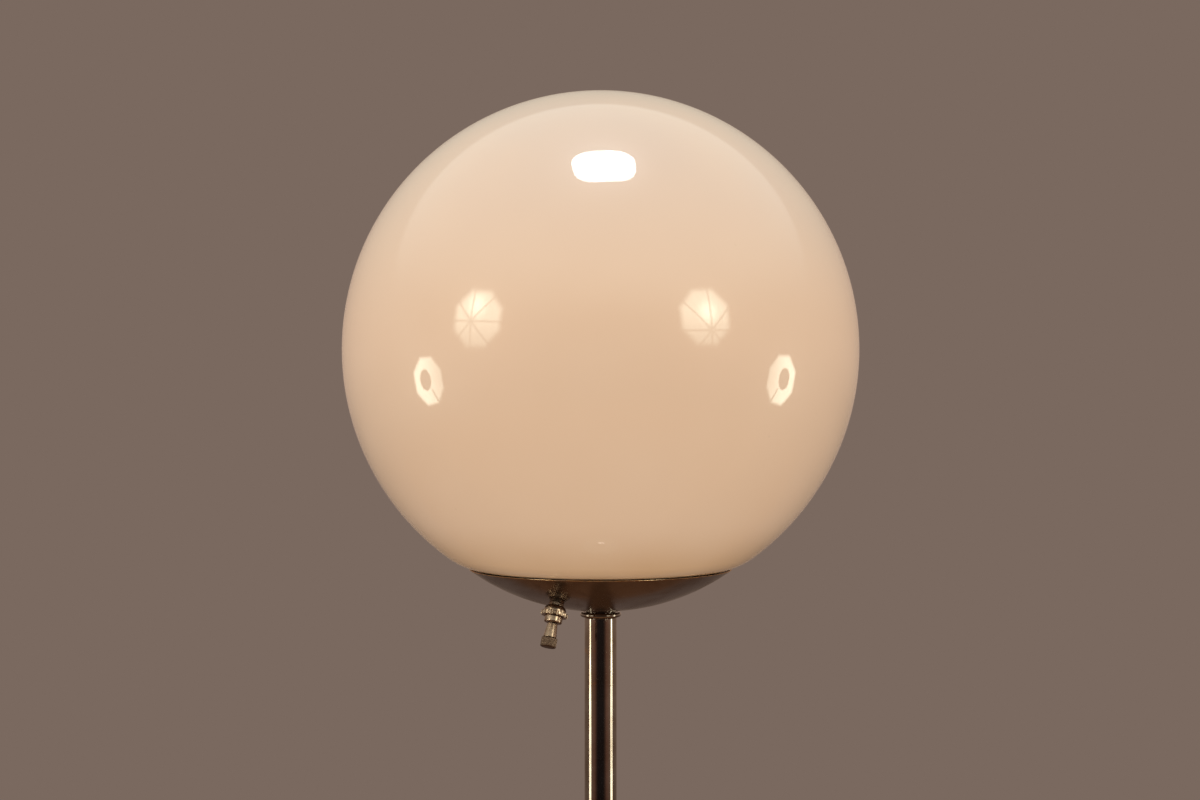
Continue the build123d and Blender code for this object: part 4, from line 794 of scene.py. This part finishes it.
# The envelope's profile runs from its foot over the top and down its inner side.
ball = (0.0, BULB_CENTRE_Z)
neck = (NECK_RADIUS + NECK_CURVE, BULB_NECK_Z)
envelope = [(NECK_RADIUS, BULB_FOOT_Z)] + arc(neck, NECK_CURVE, 180, 180 - NECK_TURN, 14)
envelope += arc(ball, BULB_RADIUS, -NECK_TURN, 90, 40)[1:]
envelope += arc(ball, BULB_RADIUS - BULB_WALL, 90, -NECK_TURN, 40)
envelope += arc(neck, NECK_CURVE + BULB_WALL, 180 - NECK_TURN, 180, 14)[1:]
envelope += [(NECK_RADIUS - BULB_WALL, BULB_FOOT_Z)]
finish_piece(turned("bulb_envelope", envelope), "bulb", "clear_glass", "bulb_glass")

stem_outline = [(0, BULB_FOOT_Z), (10.9, BULB_FOOT_Z), (10.4, BULB_FOOT_Z + 1.2)]
stem_outline += [(6.4, BULB_FOOT_Z + 4.2), (3.5, BULB_FOOT_Z + 8.6), (STEM_RADIUS, BULB_FOOT_Z + 13)]
stem_outline += [(STEM_RADIUS, STEM_TOP_Z - 1.6), (1.5, STEM_TOP_Z - 0.4), (0, STEM_TOP_Z)]
stem = turned("bulb_stem_flared", stem_outline, 64)
finish_piece(stem, "bulb", "stem_glass", "bulb_stem")

filament_z = STEM_TOP_Z + 12.0
support_side = [(2.7, STEM_TOP_Z - 12), (2.7, STEM_TOP_Z), (9, filament_z - 0.4)]
support_side += [(9, filament_z), (8.2, filament_z)]
support_points = [(-across, 0, height) for across, height in support_side]
support_points += [(across, 0, height) for across, height in reversed(support_side)]
supports = tube("filament_supports", support_points, 0.17)
finish_piece(supports, "bulb", "steel", "bulb_filament")

COIL_STEPS, COIL_REACH, COIL_RADIUS = 160, 8.0, 0.75
coil_points = []
for step in range(COIL_STEPS + 1):
    turn = math.pi * step / 4
    across = -COIL_REACH + 2 * COIL_REACH * step / COIL_STEPS
    coil_points.append((across, COIL_RADIUS * math.sin(turn), filament_z + COIL_RADIUS * math.cos(turn)))
coil = tube("filament_coil", coil_points, 0.09, 4)
finish_piece(coil, "bulb", "spring_steel")

case_outline = [
    (SWITCH_BORE, CASE_NEAR, 0),
    (CASE_RADIUS, CASE_NEAR, 0.9),
    (CASE_RADIUS, -11, 0),
    (CASE_RADIUS, CASE_FAR, 0.5),
    (CASE_INNER, CASE_FAR, 0.3),
    (CASE_INNER, CASE_NEAR - 1.6, 0.6),
    (SWITCH_BORE, CASE_NEAR - 1.6, 0),
]
switch_piece(
    "switch_case_fluted",
    "switch_case",
    rounded(case_outline, 0),
    look="brown_resin",
    hold=scalloped(CASE_RADIUS, 0.45, 36, -18.0, -4.5),
    steps=288,
)

# Flex and single cores, each with the points of its own route.
for name, node, look, radius, points in (
    (
        "wire_neutral_drawn",
        "wire_neutral",
        "core_blue",
        CORE_RADIUS,
        [(0.979, 1.629, 1317.63), (0.979, 1.629, 1378.499)]
        + [(4.635, 7.715, 1385.449), (4.635, 7.715, 1395.949)],
    ),
    (
        "wire_live_drawn",
        "wire_live",
        "core_brown",
        CORE_RADIUS,
        [(-20.036, -43.83, 1378.633), (-17.617, -39.804, 1390.755), (-11.55, -25.726, 1393.73)]
        + [(-11.977, -23.719, 1361.899), (-2.6, -7.2, 1361.899), (0.393, -1.87, 1361.899)]
        + [(0.393, -1.87, 1356.0), (0.393, -1.87, 1317.63)],
    ),
    (
        "wire_switched_drawn",
        "wire_switched",
        "core_brown",
        CORE_RADIUS,
        [(-29.293, -38.268, 1378.633), (-26.874, -34.242, 1390.755), (-17.293, -22.275, 1393.73)]
        + [(-15.32, -21.711, 1361.899), (-5.0, -5.6, 1361.899), (-1.835, -0.53, 1361.899)]
        + [(-1.835, -0.53, 1366.0), (-1.835, -0.53, 1378.499)]
        + [(-4.635, -7.715, 1385.449), (-4.635, -7.715, 1395.949)],
    ),
    (
        "pole_flex_drawn",
        "pole_flex",
        "flex_sheath",
        FLEX_RADIUS,
        [(0, 0, 1317.63), (0, 0, 24), (0, 0, 12), (0, 12, 12), (0, 28, 12)],
    ),
    (
        "base_core_left_drawn",
        "base_cores",
        "core_brown",
        CORE_RADIUS,
        [(-1.5, 28, 12), (-1.5, 29.1, 12), (-4, 34.9, 12), (-4, 54, 12)],
    ),
    (
        "base_core_right_drawn",
        "base_cores",
        "core_blue",
        CORE_RADIUS,
        [(1.5, 28, 12), (1.5, 29.1, 12), (4, 34.9, 12), (4, 54, 12)],
    ),
):
    finish_piece(tube(name, points, radius), "stand", look, node)

# ---------------- nodes that keep their solids
NODE_LOOKS = {
    "iron": ["base_weight"],
    "brown_resin": ["switch_rotor", "switch_lid"],
    "brass": [
        "terminal_inserts",
        "wire_coupler",
        "holder_centre_contact",
        "switch_contacts",
        "switch_bridge",
    ],
    "aged_brass": ["switch_bushing", "switch_spindle"],
    "steel": [
        "base_nut",
        "base_tie_rod",
        "base_washer",
        "terminal_screws",
        "block_screw",
        "dish_washer",
        "lower_nipple",
        "upper_nipple",
        "holder_grub_screw",
        "holder_terminal_screws",
        "pole_bottom_bush",
        "pole_top_bush",
        "switch_terminal_screws",
    ],
    "spring_steel": ["globe_carrier", "switch_detent_spring"],
    "porcelain": ["holder_insert", "terminal_block"],
    "fibre": ["switch_gasket"],
}
for look, names in NODE_LOOKS.items():
    for name in names:
        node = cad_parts[name]
        node.data.materials.clear()
        node.data.materials.append(LOOKS[look])


# ---------------- studio
PALE_FLOOR, FLOOR_CLOUD = srgb(214, 207, 199), srgb(212, 205, 197)
BACKDROP = srgb(122, 105, 95)
AMBIENT = 0.89
WARM_WHITE = (1.0, 1.0, 0.8, 1.0)
HEAD = Vector((0.0, 0.0, GLOBE_CENTRE_Z * MM))


class Glow(Nodes):
    """A material that only shines, and is clear where its share is 0."""

    def __init__(self, name):
        self.material = bpy.data.materials.new(name)
        self.material.use_nodes = True
        self.material.node_tree.nodes.clear()
        super().__init__(self.material.node_tree)

    def shine(self, colour, strength, share=1.0):
        emission = self.node("Emission", Color=colour, Strength=strength)
        clear = self.node("BsdfTransparent")
        blend = self.node("MixShader", Fac=share)
        self.tree.links.new(clear.outputs["BSDF"], blend.inputs[1])
        self.tree.links.new(emission.outputs["Emission"], blend.inputs[2])
        output = self.node("OutputMaterial")
        self.tree.links.new(blend.outputs["Shader"], output.inputs["Surface"])
        return self.material

    def away(self, across, up, narrow=1.0):
        """Distance from a point of the panel, and its two parts. narrow squeezes it sideways."""
        beside = self.times(self.minus(self.part("X"), across), narrow)
        above = self.minus(self.part("Y"), up)
        return self.length(beside, above), beside, above

    def octagon_edge(self, reach, soft):
        """1 inside an octagon, 0 outside it, with a soft border."""
        furthest = 0.0
        for turn in range(4):
            angle = math.radians(45 * turn)
            across = self.times(self.part("X"), math.cos(angle))
            along = self.plus(across, self.times(self.part("Y"), math.sin(angle)))
            furthest = self.calc("MAXIMUM", self.calc("ABSOLUTE", along), furthest)
        return self.ramp(furthest, reach * (1 - soft), reach, 1.0, 0.0)


def umbrella_glow(name, reach, hub, hot):
    """White cloth lit from behind: brightest by the lamp head, with ribs that run out from the hub."""
    glow = Glow(name)
    from_hub, beside, above = glow.away(hub[0] * reach, hub[1] * reach)
    four_turns = glow.times(glow.calc("ARCTAN2", above, beside), 4.0)
    off_rib = glow.times(glow.calc("ABSOLUTE", glow.calc("SINE", four_turns)), glow.times(from_hub, 0.25))
    rib = glow.ramp(off_rib, 0.0, 0.06 * reach, 0.45, 1.0)
    lit = glow.ramp(glow.part("Y"), -0.9 * reach, 0.3 * reach, 3.2, 6.8)
    spot = glow.ramp(glow.away(hot[0] * reach, hot[1] * reach)[0], 0.0, 0.55 * reach, 7.0, 0.0)
    return glow.shine(WARM_WHITE, glow.times(glow.plus(lit, spot), rib), glow.octagon_edge(reach, 0.3))


def covered_lamp_glow(name, reach, side):
    """A lamp through cloth: its head and its stand show dark against it. side is 1 for the left."""
    glow = Glow(name)
    from_head = glow.away(side * 0.16 * reach, 0.05 * reach, 1.13)[0]
    head = glow.ramp(from_head, 0.36 * reach, 0.45 * reach, 0.05, 1.0)
    leaning = glow.minus(glow.part("X"), glow.times(glow.part("Y"), side * 0.46))
    stand = glow.ramp(glow.calc("ABSOLUTE", leaning), 0.02 * reach, 0.08 * reach, 0.25, 1.0)
    stand = glow.calc("MAXIMUM", stand, glow.ramp(glow.part("Y"), -0.4 * reach, -0.3 * reach))
    outward = glow.ramp(glow.times(glow.part("X"), side), -0.9 * reach, 0.3 * reach, 5.0, 9.0)
    strength = glow.times(glow.times(head, stand), outward)
    return glow.shine(WARM_WHITE, strength, glow.octagon_edge(reach, 0.2))


def panel(name, outline, material, distance, direction):
    """A flat panel that only metal and glass see, facing the globe. It is in metres."""
    mesh = bpy.data.meshes.new(name)
    mesh.from_pydata([(x, y, 0.0) for x, y in outline], [], [tuple(range(len(outline)))])
    made = bpy.data.objects.new(name, mesh)
    made.data.materials.append(material)
    scene.collection.objects.link(made)
    made.location = HEAD + distance * Vector(direction)
    made.rotation_mode = "QUATERNION"
    made.rotation_quaternion = (HEAD - made.location).to_track_quat("Z", "Y")
    made.visible_camera = made.visible_diffuse = made.visible_transmission = made.visible_shadow = False


def octagon(reach):
    """The corners of an octagon whose sides are reach away from its centre."""
    points = [math.radians(45 * turn + 22.5) for turn in range(8)]
    radius = reach / math.cos(math.radians(22.5))
    return [(radius * math.cos(point), radius * math.sin(point)) for point in points]


SOFTBOX_ACROSS, SOFTBOX_UP = 0.265, 0.24
softbox_corners = [(-SOFTBOX_ACROSS, -SOFTBOX_UP), (SOFTBOX_ACROSS, -SOFTBOX_UP)]
softbox_corners += [(SOFTBOX_ACROSS, SOFTBOX_UP), (-SOFTBOX_ACROSS, SOFTBOX_UP)]
softbox = Glow("softbox").shine((1, 1, 1, 1), 14.0)
panel("softbox_over", rounded(softbox_corners, 0.2, 6), softbox, 1.53, (0.018, -0.184, 0.983))

UMBRELLA_REACH, COVERED_LAMP_REACH = 0.42, 0.59
for name, direction, hub, hot in (
    ("umbrella_left", (-0.774, -0.607, 0.182), (0.23, -0.08), (0.08, 0.39)),
    ("umbrella_right", (0.677, -0.710, 0.194), (-0.2, -0.41), (-0.11, 0.16)),
):
    cloth = umbrella_glow(name, UMBRELLA_REACH, hub, hot)
    panel(name, octagon(UMBRELLA_REACH), cloth, 2.0, direction)
for name, direction, side in (
    ("lamp_left", (-0.965, -0.191, -0.178), 1),
    ("lamp_right", (0.980, -0.110, -0.165), -1),
):
    cloth = covered_lamp_glow(name, COVERED_LAMP_REACH, side)
    panel(name, octagon(COVERED_LAMP_REACH), cloth, 4.0, direction)

# A very large soft lamp overhead gives the floor its faint shadow.
overhead_data = bpy.data.lights.new("overhead", "SUN")
overhead_data.angle, overhead_data.energy = math.radians(40), 0.35
overhead = bpy.data.objects.new("overhead", overhead_data)
overhead.rotation_euler = (math.radians(20), math.radians(-12), 0.0)
overhead.visible_camera = overhead.visible_glossy = overhead.visible_transmission = False
scene.collection.objects.link(overhead)


def floor_material():
    """Pale, and clear before its edge. Metal and gloss see brown boards, and cloth behind the lamp."""
    front_boards, near_boards = (0.28, 0.15, 0.08, 1), (0.14, 0.064, 0.031, 1)
    cloth = (0.134, 0.092, 0.075, 1)
    look = Look("floor")
    look.colour(look.mix(look.ramp(look.noise(2.0, 3.0), 0.3, 0.7), PALE_FLOOR, FLOOR_CLOUD))
    look.roughness(look.ramp(look.noise(6.0, 3.0), 0.3, 0.7, 0.7, 0.8))
    behind = look.plus(look.part("Y"), look.times(look.noise(4.0, 3.0), 0.4))
    boards = look.mix(look.ramp(behind, -0.1, 0.1), front_boards, near_boards)
    boards = look.mix(look.ramp(behind, 1.52, 1.62), boards, cloth)
    reflected = look.node("Emission", Color=boards, Strength=1.0)
    by_ray = look.node("MixShader", Fac=look.node("LightPath").outputs["Is Glossy Ray"])
    distance = look.node("VectorMath", {"operation": "LENGTH"})
    look.feed(distance.inputs[0], look.place)
    blend = look.node("MixShader", Fac=look.ramp(distance.outputs["Value"], 2.2, 5.0))
    output = next(node for node in look.tree.nodes if node.type == "OUTPUT_MATERIAL")
    for shader, socket in (
        (look.shader.outputs["BSDF"], by_ray.inputs[1]),
        (reflected.outputs["Emission"], by_ray.inputs[2]),
        (by_ray.outputs["Shader"], blend.inputs[1]),
        (look.node("BsdfTransparent").outputs["BSDF"], blend.inputs[2]),
        (blend.outputs["Shader"], output.inputs["Surface"]),
    ):
        look.tree.links.new(shader, socket)
    look.material.cycles.emission_sampling = "NONE"
    return look.material


FLOOR_RADIUS = 6000.0
floor = turned("floor", [(0, 0), (FLOOR_RADIUS, 0)], 120)
floor.data.materials.append(floor_material())

# The world lights evenly. The camera and clear glass see the backdrop. Metal and gloss see a room:
# a wall behind the lamp up to half height, a pale ceiling, and little light behind the camera.
LIT_WALL, CEILING = (0.52, 0.49, 0.4, 1.0), (1.0, 1.02, 0.9, 1.0)
ROOM_DEPTH = (
    (0.34, (0.24, 0.17, 0.13)),
    (0.73, (0.17, 0.09, 0.065)),
    (0.866, (0.06, 0.035, 0.027)),
    (0.94, (0.018, 0.014, 0.014)),
)
world = bpy.data.worlds.new("studio")
scene.world = world
world.use_nodes = True
world.node_tree.nodes.clear()
sky = Nodes(world.node_tree, "Generated")
height = sky.part("Z")
depth = sky.node("ValToRGB", Fac=sky.times(sky.part("Y"), -1.0))
while len(depth.color_ramp.elements) < len(ROOM_DEPTH):
    depth.color_ramp.elements.new(0.5)
for element, (position, tone) in zip(depth.color_ramp.elements, ROOM_DEPTH):
    element.position, element.color = position, (*tone, 1.0)
level = sky.times(sky.ramp(height, -0.17, 0.03, 1.0, 1.8), sky.ramp(height, -0.36, -0.17, 0.56, 1.0))
grey = sky.node("CombineColor", Red=level, Green=level, Blue=level).outputs["Color"]
wall = sky.mix(1.0, depth.outputs["Color"], grey, "MULTIPLY")
wall = sky.mix(sky.ramp(height, 0.05, 0.5), wall, LIT_WALL)
over_wall = sky.minus(height, sky.times(sky.part("Y"), 1.05))
ceiling = sky.times(sky.ramp(over_wall, -0.04, 0.04), sky.ramp(height, 0.2, 0.62))
room = sky.mix(ceiling, wall, CEILING)
path = sky.node("LightPath")
seen = sky.mix(path.outputs["Is Glossy Ray"], (AMBIENT, AMBIENT, AMBIENT, 1.0), room)
direct = sky.calc("MAXIMUM", path.outputs["Is Camera Ray"], path.outputs["Is Transmission Ray"])
background = sky.node("Background", Color=sky.mix(direct, seen, BACKDROP), Strength=1.0)
sky_output = sky.node("OutputWorld")
sky.tree.links.new(background.outputs["Background"], sky_output.inputs["Surface"])

# ---------------- camera
camera_data = bpy.data.cameras.new("camera")
camera_data.lens, camera_data.sensor_width = 55.5, 36.0
camera = bpy.data.objects.new("camera", camera_data)
camera.location = (-0.0004, -1.263, 1.4909)
camera.rotation_euler = (math.radians(90), 0.0, 0.0)
scene.collection.objects.link(camera)
scene.camera = camera
scene.view_settings.view_transform = "Standard"

bpy.context.view_layer.update()
